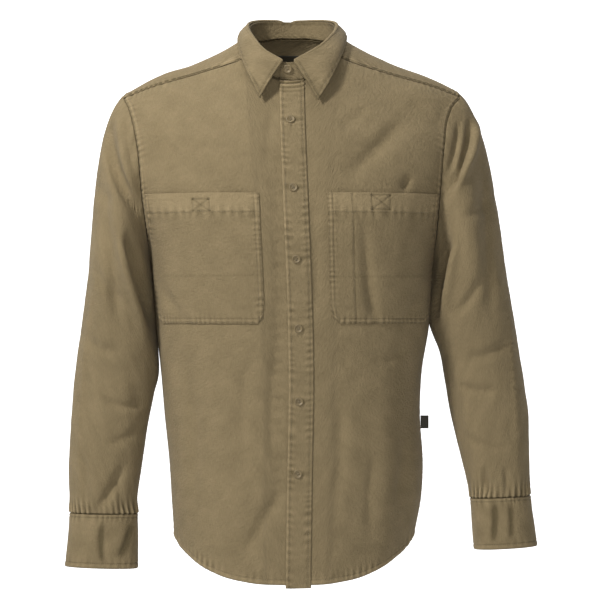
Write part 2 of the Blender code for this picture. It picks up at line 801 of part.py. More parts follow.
def place_button(name, mesh, point, outward):
    """A button that stands just off the cloth, its face turned outward."""
    button = bpy.data.objects.new(name, mesh)
    direction = Vector(outward).normalized()
    button.rotation_euler = direction.to_track_quat("Z", "Y").to_euler()
    button.location = (Vector(point) + direction * BUTTON_GAP) * MM
    bpy.data.collections[PARTS].objects.link(button)


def grid_place(grid, normals, row, column):
    """Point and outward direction at a fractional row and column of a grid."""
    r = min(int(row), len(grid) - 2)
    c = min(int(column), grid.shape[1] - 2)
    u = row - r
    v = column - c

    def blended(values):
        upper = values[r, c] * (1 - v) + values[r, c + 1] * v
        lower = values[r + 1, c] * (1 - v) + values[r + 1, c + 1] * v
        return upper * (1 - u) + lower * u

    return blended(grid), blended(normals)


def row_at_height(grid, column, height):
    """The fractional row where a column passes a height."""
    z = grid[:, column, 2]
    return float(np.interp(-height, -z, np.arange(len(z))))


def build_body(cotton):
    """Fronts, back and yoke."""
    edges = [ARMHOLE_EDGE] * len(ARMHOLE_HEIGHTS) + [SIDE_EDGE] * len(SIDE_HEIGHTS)
    edges = np.array(edges)[:, None]
    for side, name in ((RIGHT, "front_right"), (LEFT, "front_left")):
        grid = inset(front_grid(side), first_row=SMOOTH_EDGE, last_column=edges)
        cloth_object(name, grid, CLOTH, cotton, Vector((0, FRONT, 0)))
    edges = edges[YOKE_CORNER:]
    back = inset(back_grid(), first_row=SMOOTH_EDGE, first_column=edges, last_column=edges)
    cloth_object("back", back, CLOTH, cotton, Vector((0, BACK, 0)))
    yoke = yoke_grid()
    ends = [ARMHOLE_EDGE] * (YOKE_CORNER + 1)
    outer = np.array(ends + [SMOOTH_EDGE] * (len(yoke) - 2 * len(ends)) + ends)[:, None]
    yoke = inset(yoke, first_row=SMOOTH_EDGE, last_row=SMOOTH_EDGE, last_column=outer)
    cloth_object("yoke", yoke, CLOTH, cotton, Vector((0, 0.5, 1)))


def build_sleeves(cotton, button):
    """Sleeves with their bound slits, and lapped cuffs with a button each."""
    for side, word in ((RIGHT, "right"), (LEFT, "left")):
        grid = sleeve_grid(side)
        sleeve = inset(grid, first_row=ARMHOLE_EDGE)
        cloth_object("sleeve_" + word, sleeve, CLOTH, cotton, closed=True)
        strip = grid[SLIT_ROWS[0] : SLIT_ROWS[1], SLIT_COLUMNS[0] : SLIT_COLUMNS[1]]
        toward = (side, BACK, 0)
        strip = lifted(strip, toward, CLOTH + LIFT)
        cloth_object("sleeve_strip_" + word, strip, CLOTH, cotton, Vector(toward))
        cuff = cuff_grid(side)
        cloth_object("cuff_" + word, cuff, CUFF_CLOTH, cotton)
        lap = cuff[:, -1 - CUFF_LAP_SIDES :]
        normals = outward_normals(lap, (0, BACK, 0))
        point, outward = grid_place(lap, normals, 1, CUFF_LAP_SIDES - CUFF_BUTTON_SIDES)
        place_button("button_cuff_" + word, button, point, outward)


def build_collar(cotton, button):
    """Collar stand, collar, and the button at the neck."""
    stand = stand_grid()
    cloth_object("collar_stand", stand, STAND_CLOTH, cotton)
    cloth_object("collar", collar_grid(), COLLAR_CLOTH, cotton)
    tab = stand[:, :TAB_COLUMNS]
    normals = outward_normals(tab, (0, FRONT, 0))
    column = float(np.interp(STAND_BUTTON[0], tab[1, :, 0], np.arange(TAB_COLUMNS)))
    row = float(np.interp(STAND_BUTTON[1], tab[:, round(column), 2], np.arange(len(tab))))
    point, outward = grid_place(tab, normals, row, column)
    place_button("button_neck", button, point, outward)


def build_front_details(cotton, button):
    """Placket with its buttons, and the two breast pockets."""
    for side, word in ((RIGHT, "right"), (LEFT, "left")):
        grid = front_grid(side)
        over = lifted(grid, (0, FRONT, 0), CLOTH + LIFT)
        heights = ARMHOLE_HEIGHTS + SIDE_HEIGHTS
        top = heights.index(POCKET_TOP)
        bottom = heights.index(POCKET_BOTTOM)
        inner, outer = (2 + column for column in POCKET_COLUMNS)
        pocket = over[top : bottom + 1, inner : outer + 1].copy()
        for column, step in ((0, 1), (-1, -1)):
            corner = pocket[-1, column]
            across = pocket[-1, column + step] - corner
            up = pocket[-2, column] - corner
            pocket[-1, column] = corner + (across + up) * POCKET_CORNER
        cloth_object("pocket_" + word, pocket, CLOTH, cotton, Vector((0, FRONT, 0)))
        if side == LEFT:
            placket = inset(over[:, :3], first_row=SMOOTH_EDGE)
            placket[-1, :, 2] -= PLACKET_DROP
            cloth_object("placket", placket, CLOTH, cotton, Vector((0, FRONT, 0)))
            normals = outward_normals(placket, (0, FRONT, 0))
            for number, height in enumerate(BUTTON_HEIGHTS, 1):
                row = row_at_height(placket, 1, height)
                point, outward = grid_place(placket, normals, row, BUTTON_INSET / (PLACKET_WIDTH / 2))
                place_button(f"button_front_{number}", button, point, outward)


def build_labels(cloth):
    """The bare label inside the neck and the bare flag in the side seam."""
    width, height = NECK_LABEL
    x = NECK_LABEL_X + np.linspace(-width / 2, width / 2, 4)
    z = np.linspace(NECK_LABEL_TOP, NECK_LABEL_TOP - height, 3)
    grid = body_points(x[None, :], z[:, None], BACK)
    grid[..., 1] -= CLOTH + 3 * LIFT
    cloth_object("neck_label", grid, LABEL_CLOTH, cloth, Vector((0, BACK, 0)))
    height, width, middle = SIDE_LABEL
    edge = float(side_edge(LEFT, middle)) + 2 * LIFT
    mesh = bpy.data.meshes.new("side_label")
    flag = bmesh.new()
    size = Matrix.Diagonal((width * MM, LABEL_CLOTH * MM, height * MM, 1))
    place = Matrix.Translation(Vector((edge + width / 2, 0, middle)) * MM)
    bmesh.ops.create_cube(flag, size=1, matrix=place @ size)
    flag.to_mesh(mesh)
    flag.free()
    mesh.materials.append(cloth)
    bpy.data.collections[PARTS].objects.link(bpy.data.objects.new("side_label", mesh))


def main():
    for old in list(bpy.data.objects):
        bpy.data.objects.remove(old)
    for name in (PARTS, CUTTERS):
        bpy.context.scene.collection.children.link(bpy.data.collections.new(name))
    cotton = material("cotton", COTTON, 0.85)
    button = button_mesh(material("button", BUTTON_COLOUR, 0.4))
    build_body(cotton)
    build_sleeves(cotton, button)
    build_collar(cotton, button)
    build_front_details(cotton, button)
    build_labels(material("label", LABEL_COLOUR, 0.7))


main()
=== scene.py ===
"""The looks of the long-sleeve shirt: cloth, sewing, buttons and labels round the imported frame.

Lengths are in millimetres and go to metres when a mesh is made. X runs to the
wearer's left, -Y is the front and Z is up, as in the frame. Every sheet of cloth is
a fine shell on its solid's own surface, with creases, seam bands and puckers added
along its normals. Wearer's right is at -X.
"""

import math

import bmesh
import bpy
import numpy as np
from mathutils import Matrix, Vector

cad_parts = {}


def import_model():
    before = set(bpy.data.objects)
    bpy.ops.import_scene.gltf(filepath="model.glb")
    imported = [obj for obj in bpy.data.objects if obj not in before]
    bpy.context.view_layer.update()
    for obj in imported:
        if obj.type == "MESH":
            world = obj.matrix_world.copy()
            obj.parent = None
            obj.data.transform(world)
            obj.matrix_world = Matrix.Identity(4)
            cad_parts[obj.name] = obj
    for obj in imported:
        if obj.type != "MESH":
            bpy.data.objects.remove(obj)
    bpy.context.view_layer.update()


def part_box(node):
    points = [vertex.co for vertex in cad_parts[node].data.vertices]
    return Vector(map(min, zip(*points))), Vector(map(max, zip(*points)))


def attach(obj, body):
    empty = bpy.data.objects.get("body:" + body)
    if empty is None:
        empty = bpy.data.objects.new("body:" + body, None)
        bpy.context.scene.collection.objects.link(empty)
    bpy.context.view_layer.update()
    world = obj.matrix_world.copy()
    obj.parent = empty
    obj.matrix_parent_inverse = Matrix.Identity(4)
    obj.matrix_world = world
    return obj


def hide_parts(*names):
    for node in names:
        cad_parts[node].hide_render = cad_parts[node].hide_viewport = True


MM = 0.001
RIGHT = -1
LEFT = 1
FRONT = -1
BACK = 1
SIDE_WORDS = {RIGHT: "right", LEFT: "left"}
FLAT = np.array([1.0, 1.0, 0.0])
UP = np.array([0.0, 0.0, 1.0])
TO_FRONT = np.array([0.0, FRONT, 0.0])
TO_BACK = np.array([0.0, BACK, 0.0])
NECK_MIDDLE = np.array([0.0, -5.0, 0.0])

# Thickness of each shell, and how far layers that lie on each other are apart
CLOTH = 0.8
SOLID_CLOTH = 1.2
LAYER = 1.35
COLLAR_CLOTH = 1.4
STAND_CLOTH = 1.5
CUFF_CLOTH = 1.7
SOLID_CUFF_CLOTH = 2.0
SOLID_STAND_CLOTH = 1.7
LABEL_CLOTH = 0.5
SOLID_LIFT = 0.35

# Body
ROUNDNESS = 2.3
FRONT_ROLL = 200.0
BACK_ROLL = 120.0
ROLL_LOSS_AT_TIP = 0.42
TIP_HEIGHT = -81.0
POCKET_TOP = -215.0
POCKET_BOTTOM = -391.0
YOKE_SEAM = -105.0
LEVEL_END = -580.0
PLACKET_WIDTH = 34.0
UNDER_WRAP = 24.0
UNDER_PLACKET = -2.0
BACK_HALF_COLUMNS = 8

# Neck
NECK_HALF_WIDTH = 72.0
NECK_FRONT_DROP = 62.0
NECK_SEAM_X = 64.5
NECK_BACK_HEIGHT = 6.0
TAB_LENGTH = 13.0
TAB_ROUND = 9.0
FOLD_RADIUS = 2.5
STAND_BELOW_FOLD = 3.1
STAND_RISE = 0.5
STAND_UNDER_START = 325.0
STAND_UNDER_SPAN = 20.0
COLLAR_SWELL = 3.0

# Sleeves and cuffs
CAP_ROWS = 6
SLEEVE_ROWS = 20
SLEEVE_ROUNDNESS = 2.2
CAP_PULL = 0.7
CAP_OUT = 0.75
CAP_OUT_LOSS_UNDER = 0.4
CAP_FORWARD = 0.25
CAP_DOWN = 0.66
CAP_DOWN_GAIN_UNDER = 0.28
CUFF_SIDES = 24
CUFF_LAP_SIDES = 3
CUFF_LAP_START = math.radians(-110)


def smooth_curve(keys, values, at):
    """A smooth curve through values, given at rising keys and read at each place."""
    at = np.clip(np.asarray(at, float), keys[0], keys[-1])
    slopes = np.gradient(values, keys)
    low = np.clip(np.searchsorted(keys, at, side="right") - 1, 0, len(keys) - 2)
    span = keys[low + 1] - keys[low]
    t = (at - keys[low]) / span
    start = (1 + 2 * t) * (1 - t) ** 2 * values[low] + t * (1 - t) ** 2 * span * slopes[low]
    end = t * t * (3 - 2 * t) * values[low + 1] + t * t * (t - 1) * span * slopes[low + 1]
    return start + end


def travel_along(line):
    """How far each point of a line is from its start."""
    return np.concatenate([[0], np.cumsum(np.linalg.norm(np.diff(line, axis=0), axis=1))])


def unit(vectors):
    return vectors / np.linalg.norm(vectors, axis=-1)[..., None]


def falloff(value, width):
    """One at zero, and fading to nothing on both sides of it."""
    return np.exp(-((value / width) ** 2))


class Table:
    """A short table of sizes. Its first column is the key that the others are read by."""

    def __init__(self, names, rows):
        self.names = names
        self.rows = np.array(sorted(rows), float)

    def read(self, name, at):
        return smooth_curve(self.rows[:, 0], self.rows[:, self.names.index(name)], at)


# How high the shoulder's crest is at each distance from the middle
CREST = Table(
    ("out", "height", "seam_drop"),
    (
        (0, 31, 30),
        (16, 30, 30),
        (42, 19, 30),
        (72, -1, 28),
        (128, -30, 18),
        (195, -55, 12),
        (229, -73.5, 6),
        (233, -76, 5),
        (260, -92, 5),
    ),
)

# The body's sections: half-widths to the armhole or side seam, and depths at the middle
TORSO = Table(
    ("height", "right", "left", "front", "back", "share"),
    (
        (40, 233, 229, 84, 92, 0.92),
        (-62, 233, 229, 88, 100, 0.92),
        (-81, 233, 229, 93, 104, 0.915),
        (-91, 227, 220, 96, 106, 0.905),
        (-105, 222, 213.5, 100, 108, 0.90),
        (-148, 212, 206, 111, 114, 0.885),
        (-215, 205.5, 200, 122, 116, 0.915),
        (-260, 200.5, 197, 126, 112, 0.965),
        (-285, 198, 195, 126, 109, 0.99),
        (-300, 197, 194, 125, 107, 1.0),
        (-359, 191.5, 190, 122, 101, 1.0),
        (-391, 189, 188, 120, 98, 1.0),
        (-457, 182, 177.5, 117, 95, 1.0),
        (-515, 177, 175, 117, 99, 1.0),
        (-585, 170, 179, 119, 105, 1.0),
        (-626, 167.5, 177, 121, 109, 1.0),
        (-694, 163, 165, 123, 113, 1.0),
        (-750, 160, 160, 124, 114, 1.0),
    ),
)

# The placket's free edge, which wanders as it hangs
PLACKET_EDGE = Table(
    ("height", "x"),
    ((-40, -18), (-69, -18), (-221, -13), (-340, -8), (-469, -5.5), (-600, -7.5), (-751, -9.7)),
)

# The shirttail hem by its share of the way from the middle to the side seam
HEM = Table(
    ("share", "front", "back"),
    (
        (0, -741, -748),
        (0.35, -738, -746),
        (0.62, -728, -738),
        (0.85, -708, -716),
        (0.96, -692, -692),
        (1, -682, -682),
    ),
)

# Sleeve sections from the upper arm to the cuff: outer and inner points of the front view
SLEEVE_NAMES = ("row", "outer_x", "outer_z", "inner_x", "inner_z", "middle_y", "depth")
SLEEVE = {
    RIGHT: Table(
        SLEEVE_NAMES,
        (
            (0, 283, -330, 195.2, -336, 2, 76),
            (1, 291, -392, 190.6, -396, 0, 62),
            (2, 299.5, -453, 185.2, -455, -4, 50),
            (3, 302.5, -488, 192, -489, -7, 46),
            (4, 305, -528, 200, -529, -11, 42),
            (5, 308, -585, 208, -586, -16, 40),
            (6, 306.5, -632, 214, -630, -20, 37),
            (7, 306, -650, 213, -651, -21, 34),
        ),
    ),
    LEFT: Table(
        SLEEVE_NAMES,
        (
            (0, 295, -330, 194.6, -336, 2, 76),
            (1, 305, -388, 191.8, -386, 0, 62),
            (2, 313, -440, 204, -430, -3, 50),
            (3, 319, -480, 210, -470, -6, 46),
            (4, 324, -520, 217, -513, -10, 42),
            (5, 324.5, -575, 232, -577, -16, 40),
            (6, 325, -610, 241, -614, -19, 38),
            (7, 325.7, -626, 243.5, -630, -20, 36),
        ),
    ),
}

# Cuffs, from the seam down to the edge, with the sleeve sections' columns
CUFF = {
    RIGHT: Table(
        SLEEVE_NAMES,
        (
            (0, 306, -650.5, 212.8, -651.5, -21, 34),
            (1, 309, -686, 212.3, -688, -23, 33),
            (2, 313, -723, 212.5, -726, -25, 32.5),
        ),
    ),
    LEFT: Table(
        SLEEVE_NAMES,
        (
            (0, 325.8, -626.5, 243.4, -630.5, -20, 36),
            (1, 330.5, -660, 245.4, -665, -22, 36),
            (2, 335, -695, 248, -700, -24, 36),
        ),
    ),
}

# Folds, a row each: x0, z0, x1, z1, x2 and z2, which are three points of the front view
# on the fold's way, then half_width and depth. The depth is negative for a ridge.
BODY_FOLDS = {
    FRONT: (
        (-24, -110, -19, -420, -22, -735, 9, 2.5),
        (160, -500, 154, -600, 146, -720, 16, 4.5),
        (120, -470, 128, -600, 118, -730, 14, -3.0),
        (72, -195, 120, -150, 175, -97, 16, 3.5),
        (157, -192, 152, -202, 147, -211, 7, 3.0),
        (-11, -610, -50, -665, -73, -720, 18, 3.5),
        (-150, -420, -120, -540, -128, -700, 22, 3.0),
        (90, -300, 101, -345, 109, -388, 10, 3.0),
        (-186, -130, -160, -170, -120, -195, 18, 3.0),
    ),
    BACK: (
        (-60, -130, -66, -400, -80, -735, 20, 4.0),
        (64, -130, 60, -420, 88, -735, 22, 4.5),
        (0, -420, 8, -560, -6, -735, 22, -3.0),
        (-185, -190, -150, -270, -120, -400, 18, 5.0),
        (183, -190, 150, -280, 112, -410, 18, 5.0),
        (-140, -470, -130, -600, -140, -700, 18, 4.0),
        (136, -480, 132, -600, 138, -700, 16, 4.0),
    ),
}
SLEEVE_FOLDS = {
    (RIGHT, FRONT): (
        (-250, -99, -248, -165, -206, -249, 10, 11.0),
        (-237, -272, -214, -355, -195, -440, 8, -4.0),
        (-218, -285, -200, -345, -188, -420, 9, 9.0),
        (-266, -174, -250, -300, -237, -400, 15, 5.0),
        (-222, -470, -212, -490, -205, -520, 9, 4.0),
        (-229, -580, -248, -618, -268, -646, 9, 4.0),
        (-228, -110, -222, -170, -214, -225, 8, -3.0),
    ),
    (RIGHT, BACK): (
        (-246, -110, -240, -190, -212, -262, 12, 8.0),
        (-268, -240, -262, -330, -236, -420, 14, 6.0),
        (-222, -300, -225, -380, -262, -470, 12, 5.0),
        (-290, -440, -262, -480, -226, -500, 12, 5.0),
        (-270, -560, -262, -610, -255, -646, 9, 4.0),
    ),
    (LEFT, FRONT): (
        (224, -118, 214, -172, 206, -216, 9, 9.0),
        (250, -104, 243, -165, 211, -218, 8, -4.0),
        (206, -242, 200, -317, 196, -379, 8, 8.0),
        (221, -272, 210, -331, 203, -386, 8, -4.0),
        (254, -152, 262, -270, 268, -400, 13, 6.0),
        (212, -440, 226, -520, 240, -590, 8, 3.5),
        (262, -590, 262, -610, 258, -626, 6, 3.5),
        (300, -380, 307, -480, 308, -620, 6, -2.0),
    ),
    (LEFT, BACK): (
        (246, -108, 238, -190, 210, -258, 12, 8.0),
        (276, -230, 264, -320, 232, -400, 14, 6.0),
        (222, -300, 240, -390, 285, -460, 12, 5.0),
        (304, -430, 280, -480, 240, -500, 12, 5.0),
        (288, -540, 284, -590, 280, -622, 9, 4.0),
    ),
}
FOLD_STEPS = 40
FOLD_CALM_EDGE = 18.0
FOLD_END = 0.1

# The collar's fold line and its free edge, by the angle round the neck from the front
COLLAR = Table(
    ("angle", "fold_x", "fold_y", "fold_z", "edge_x", "edge_y", "edge_z"),
    (
        (4, 1.4, -79, -33, 34.5, -94, -89),
        (32, 36, -65, -12, 53, -80, -58),
        (58, 53, -42, 5, 67.6, -51, -25),
        (92, 61, 0, 22, 75, 0, 2.5),
        (138, 45, 44, 32, 60, 58, -1),
        (180, 0, 61, 33, 0, 84, -9),
        (222, -47, 44, 32, -62, 58, -1),
        (268, -63, 0, 21, -77, 0, 1.5),
        (302, -55, -42, 3, -72, -51, -27),
        (328, -38, -66, -18, -59, -80, -57),
        (350, -13.8, -79, -33, -44.7, -93, -86),
    ),
)


# Left front's columns lie past the placket, and right front's past its free edge
FRONT_SHARES = {
    RIGHT: (0, 0.159, 0.209, 0.35, 0.50, 0.63, 0.75, 0.86, 0.93, 0.974, 1),
    LEFT: (0, 0.141, 0.2235, 0.36, 0.50, 0.63, 0.75, 0.86, 0.94, 0.983, 1),
}
NECK_COLUMN = 2
POCKET_COLUMNS = (1, 9)
ARMHOLE_HEIGHTS = (-81, -88, -105, -125, -148, -170, -193, -215, -238, -260, -280, -293, -300)
SIDE_HEIGHTS = (-335, -363, -391, -425, -460, -500, -540, -580, -620, -656, -682)
YOKE_CORNER = 2
ARMHOLE_COUNT = 2 * len(ARMHOLE_HEIGHTS) - 1
SLIT_COLUMNS = (19, 21)
SLIT_LENGTH = 92.0

# Small parts
BUTTON_HEIGHTS = (-116, -208, -304, -397, -495, -592)
BUTTON_INSET = 14.0
BUTTON_RADIUS = 5.9
BUTTON_HEIGHT = 2.6
BUTTON_HOLE = 0.75
BUTTON_HOLE_SPACING = 1.25
BUTTON_GAP = 0.25
BUTTON_TURNS = (0.3, 0.75, 0.2, 0.9, 0.45, 0.1, 0.65, 0.4, 0.8)
BUTTONHOLE = 15.0
BUTTON_PROFILE = (
    (0, 0.6),
    (0.5, 0.6),
    (0.6, 0.66),
    (0.68, 0.84),
    (0.75, 0.97),
    (0.83, 1),
    (0.91, 0.97),
    (0.97, 0.86),
    (1, 0.66),
    (0.98, 0.45),
    (0.86, 0),
    (0, 0),
)
NECK_LABEL = (46.0, 24.0)
NECK_LABEL_TOP = -16.0
NECK_LABEL_X = -2.5
POCKET_CORNER = 0.3
POCKET_HEM = 26.0
POCKET_PUFF = 1.2
PLACKET_DROP = 4.0

# A pen slot's stitch line and the stitched box on each pocket's hem, from its inner edge
PEN_SLOT = {RIGHT: None, LEFT: 34.0}
BOX_TACK = {RIGHT: (68.0, 91.0, 8.0, 24.0), LEFT: (60.0, 86.0, 3.0, 22.0)}

# A faint line across each pocket: two points from its inner upper corner, and its depth
POCKET_LINES = {
    RIGHT: ((0.0, 111.0, 150.0, 113.0, 0.3),),
    LEFT: ((0.0, 113.0, 150.0, 112.0, 0.3),),
}

# How deep stitches sink, and how strongly sewn edges pucker
EDGE_GROOVE = 0.7
STITCH_GROOVE = 0.85
PUCKER_GAIN = 2.2
CREASE_GAIN = 1.9

# How far each sleeve's inner side fills out against the body, round one height
SNUG_DEPTH = 5.5
SNUG_HEIGHT = -362.0
SNUG_REACH = 58.0

# Seam turning of the fronts and back, up under the yoke
TURNING = 6.0
TURNING_UNDER = 2.2

# The dip in the fold at the collar's back
NOTCH_X = -8.0
NOTCH_HALF = 7.0
NOTCH_DEPTH = 4.5

# Stitch lines, by how far they are from an edge
TWIN_LINES = (1.8, 7.0)
HEM_LINE = 7.0
PLACKET_LINE = 4.8
CUFF_SEAM_LINE = 4.5
CUFF_END_LINE = 5.0
STAND_LINE = 2.5
TAB_LINE = 3.0
COLLAR_LINE = 5.2
SLIT_LINE = 1.8
SLIT_TOP_LINE = 2.0
LABEL_LINE = 2.0

# Ways over a sheet's grid of points, and how far apart its columns and rows are
DOWN = 0
ACROSS = 1
FRONT_STEPS = (3.3, 3.0)
POCKET_STEP = 1.7
PLACKET_STEPS = (1.7, 1.8)
BACK_STEPS = (3.8, 3.3)
YOKE_STEPS = (3.0, 3.3)
SLEEVE_STEPS = (3.2, 2.9)
CUFF_STEPS = (2.4, 2.2)
STAND_STEP = 2.6

# How fine the sewn edges are, and how the noise and creases are read
EDGE_STOPS = (0.0, 1.0, 1.9, 2.9, 4.2, 5.8, 7.0, 8.4, 10.5)
NOISE_CELLS = 64
CREASE_END = 0.3
CALM_EDGE = 14.0
UV_UNIT = 10.0

# Creases, a row each: x0, z0, x1, z1, x2 and z2, which are three points of the front view
# on the crease's way, then half_width, depth and skew. The depth is negative for a ridge.
FRONT_CREASES = (
    (72, -195, 110, -160, 152, -112, 9, 1.6, 0.5),
    (157, -190, 153, -201, 147, -211, 4, 1.8, 0.3),
    (60, -130, 82, -118, 104, -92, 7, 1.0, 0.4),
    (-60, -150, -95, -128, -128, -104, 8, 1.2, -0.4),
    (-190, -120, -172, -150, -150, -178, 8, 1.6, 0.4),
    (-26, -96, -34, -140, -33, -190, 6, 1.0, 0.3),
    (24, -200, 32, -290, 30, -400, 7, 1.0, -0.4),
    (-22, -410, -30, -500, -26, -600, 6, 1.1, 0.3),
    (154, -421, 138, -432, 121, -442, 7, 1.4, 0.5),
    (148, -538, 146, -590, 140, -640, 8, 1.6, 0.5),
    (-11, -610, -42, -655, -70, -712, 8, 1.8, 0.5),
    (60, -470, 66, -560, 52, -700, 9, 1.3, -0.4),
    (-60, -430, -70, -500, -66, -600, 10, 1.2, 0.4),
    (-150, -430, -132, -540, -138, -660, 9, 1.5, -0.4),
    (110, -560, 102, -620, 104, -690, 7, 1.2, 0.5),
    (-184, -330, -160, -372, -128, -408, 8, 1.3, 0.4),
    (186, -330, 164, -368, 140, -398, 8, 1.3, -0.4),
    (90, -232, 101, -341, 109, -386, 8, 1.7, 0.6),
)
BACK_CREASES = (
    (-30, -140, -44, -300, -60, -480, 10, 1.8, 0.5),
    (40, -150, 46, -320, 66, -520, 10, 1.8, -0.5),
    (-180, -230, -140, -300, -96, -380, 9, 2.0, 0.5),
    (178, -240, 138, -310, 92, -400, 9, 2.0, -0.5),
    (-20, -420, -6, -560, -18, -700, 9, 1.6, 0.4),
    (-120, -470, -112, -580, -122, -700, 8, 1.5, 0.5),
    (118, -460, 108, -570, 120, -700, 8, 1.5, -0.5),
    (-70, -560, -52, -620, -58, -720, 8, 1.2, 0.4),
)
SLEEVE_CREASES = {
    (RIGHT, FRONT): (
        (-251, -92, -248, -170, -200, -256, 8, 4.2, 0.7),
        (-240, -100, -234, -160, -214, -218, 5, -1.6, 0.4),
        (-230, -104, -225, -150, -212, -190, 5, 1.8, 0.4),
        (-285, -180, -268, -210, -240, -232, 8, 1.8, 0.5),
        (-240, -268, -224, -330, -198, -430, 6, -3.4, 0.4),
        (-228, -262, -212, -330, -188, -420, 6, 5.0, 0.6),
        (-266, -170, -250, -300, -238, -410, 9, 2.6, 0.5),
        (-276, -300, -258, -340, -228, -366, 8, 2.0, 0.5),
        (-294, -400, -268, -424, -232, -430, 8, 1.8, 0.4),
        (-200, -500, -232, -505, -262, -492, 6, 1.8, -0.5),
        (-206, -520, -228, -545, -262, -552, 7, 1.5, 0.5),
        (-229, -580, -246, -612, -270, -648, 5, 2.0, 0.5),
        (-292, -560, -284, -600, -286, -645, 5, 1.5, 0.5),
        (-242, -600, -236, -625, -232, -650, 4, 1.4, 0.3),
        (-262, -290, -288, -453, -295, -660, 5, -0.8, 0.6),
    ),
    (RIGHT, BACK): (
        (-286, -200, -262, -240, -226, -262, 8, 2.2, 0.5),
        (-290, -300, -266, -340, -222, -360, 8, 2.4, 0.5),
        (-288, -420, -252, -448, -206, -452, 7, 2.4, -0.5),
        (-292, -480, -254, -500, -214, -520, 7, 2.0, 0.5),
        (-286, -560, -262, -600, -240, -645, 6, 1.8, 0.5),
    ),
    (LEFT, FRONT): (
        (252, -98, 247, -154, 210, -222, 6, -4.0, -0.5),
        (241, -100, 234, -162, 202, -222, 6, 5.0, 0.7),
        (228, -104, 221, -150, 210, -190, 4, 2.4, 0.4),
        (258, -150, 264, -260, 268, -400, 9, 2.8, 0.5),
        (288, -200, 262, -232, 226, -250, 8, 1.8, -0.5),
        (222, -276, 211, -331, 202, -400, 6, -3.4, 0.4),
        (212, -262, 202, -330, 194, -400, 5, 4.6, 0.5),
        (262, -320, 240, -360, 214, -380, 7, 2.0, -0.5),
        (300, -410, 268, -430, 228, -436, 8, 2.0, 0.5),
        (220, -470, 252, -484, 290, -480, 7, 1.8, 0.4),
        (232, -540, 262, -556, 296, -560, 6, 1.4, -0.4),
        (256, -585, 262, -605, 262, -627, 4, 2.2, 0.4),
        (288, -580, 290, -604, 292, -627, 4, 1.8, 0.4),
        (268, -200, 294, -370, 304, -640, 5, -1.0, 0.6),
    ),
    (LEFT, BACK): (
        (288, -200, 262, -240, 222, -262, 8, 2.2, -0.5),
        (298, -300, 268, -340, 222, -360, 8, 2.4, -0.5),
        (308, -410, 262, -440, 216, -444, 7, 2.4, 0.5),
        (312, -470, 268, -494, 228, -512, 7, 2.0, -0.5),
        (306, -540, 282, -580, 262, -622, 6, 1.8, -0.5),
    ),
}
CUFF_CREASES = {
    RIGHT: (
        (-258, -655, -262, -690, -258, -724, 4, 0.9, 0.3),
        (-222, -658, -228, -690, -240, -712, 5, 0.9, 0.4),
    ),
    LEFT: (
        (272, -632, 274, -660, 270, -694, 4, 1.1, 0.4),
        (296, -630, 298, -660, 297, -692, 4, 0.9, -0.4),
    ),
}
COLLAR_CREASES = (
    (-20, 30, -12, 22, -8, 10, 4, 0.8, 0.4),
)

# Finishes
COTTON_DEEP = (0.112, 0.086, 0.044)
COTTON_PALE = (0.318, 0.246, 0.138)
THREAD_DEEP = (0.13, 0.097, 0.045)
THREAD_PALE = (0.25, 0.19, 0.098)
BUTTON_DEEP = (0.12, 0.088, 0.04)
BUTTON_PALE = (0.22, 0.165, 0.082)
TWILL_ANGLE = math.radians(-28)
TWILL_SCALE = 3.5

# Stage, lights and the camera, in metres; the photo's frame is in its own pixels
FLOOR_HEIGHT = -1.45
STAGE_REACH = 22.0
WORLD_STRENGTH = 0.2
BACKDROP_GLOW = 1.0
BACKDROP_START = 4.0
LIGHTS = (
    ("key", (-1.55, -1.4, 1.45), 0.5, 74.0, (1.0, 0.985, 0.96)),
    ("fill", (0.35, -3.4, 0.3), 0.8, 30.0, (1.0, 0.985, 0.96)),
    ("top", (0.0, 0.3, 1.5), 0.9, 12.0, (1.0, 1.0, 1.0)),
)
PHOTO_PIXELS = 600
PIXEL = 1.38
ORIGIN_PIXEL = (293.0, 40.0)
CAMERA_DISTANCE = 4.0


def crest(x):
    return CREST.read("height", np.abs(x))


def side_edge(side, z):
    """Half-width of the front and back where they meet the sleeve or each other."""
    return TORSO.read("right" if side == RIGHT else "left", z)


def edge_at(x, z):
    """Half-width to the armhole or side seam, on the side where a point is."""
    return np.where(np.asarray(x) < 0, side_edge(RIGHT, z), side_edge(LEFT, z))


def half_width(x, z):
    """Half-width of the whole section, also where the armhole cuts its side off."""
    return edge_at(x, z) / TORSO.read("share", z)


def path_through(start, middle, end, along):
    control = 2 * middle - (start + end) / 2
    return (1 - along) ** 2 * start + 2 * along * (1 - along) * control + along**2 * end


def fold_depth(folds, x, z):
    """How far a piece's folds push it in at each point of its front view."""
    along = np.linspace(0, 1, FOLD_STEPS)
    total = np.zeros(np.broadcast(x, z).shape)
    for x0, z0, x1, z1, x2, z2, width, depth in folds:
        path_x = path_through(x0, x1, x2, along)
        path_z = path_through(z0, z1, z2, along)
        gap = np.hypot(np.asarray(x)[..., None] - path_x, np.asarray(z)[..., None] - path_z)
        fade = np.sin(math.pi * (FOLD_END + (1 - 2 * FOLD_END) * along[gap.argmin(-1)]))
        total += depth * fade * falloff(gap.min(-1), width)
    return total


def roll_height(x, facing):
    """How far down the cloth rolls over the shoulder before it hangs; less at the tips."""
    full = FRONT_ROLL if facing == FRONT else BACK_ROLL
    out = np.clip(np.abs(x) / side_edge(RIGHT, TIP_HEIGHT), 0, 1)
    return full * (1 - ROLL_LOSS_AT_TIP * out**2)


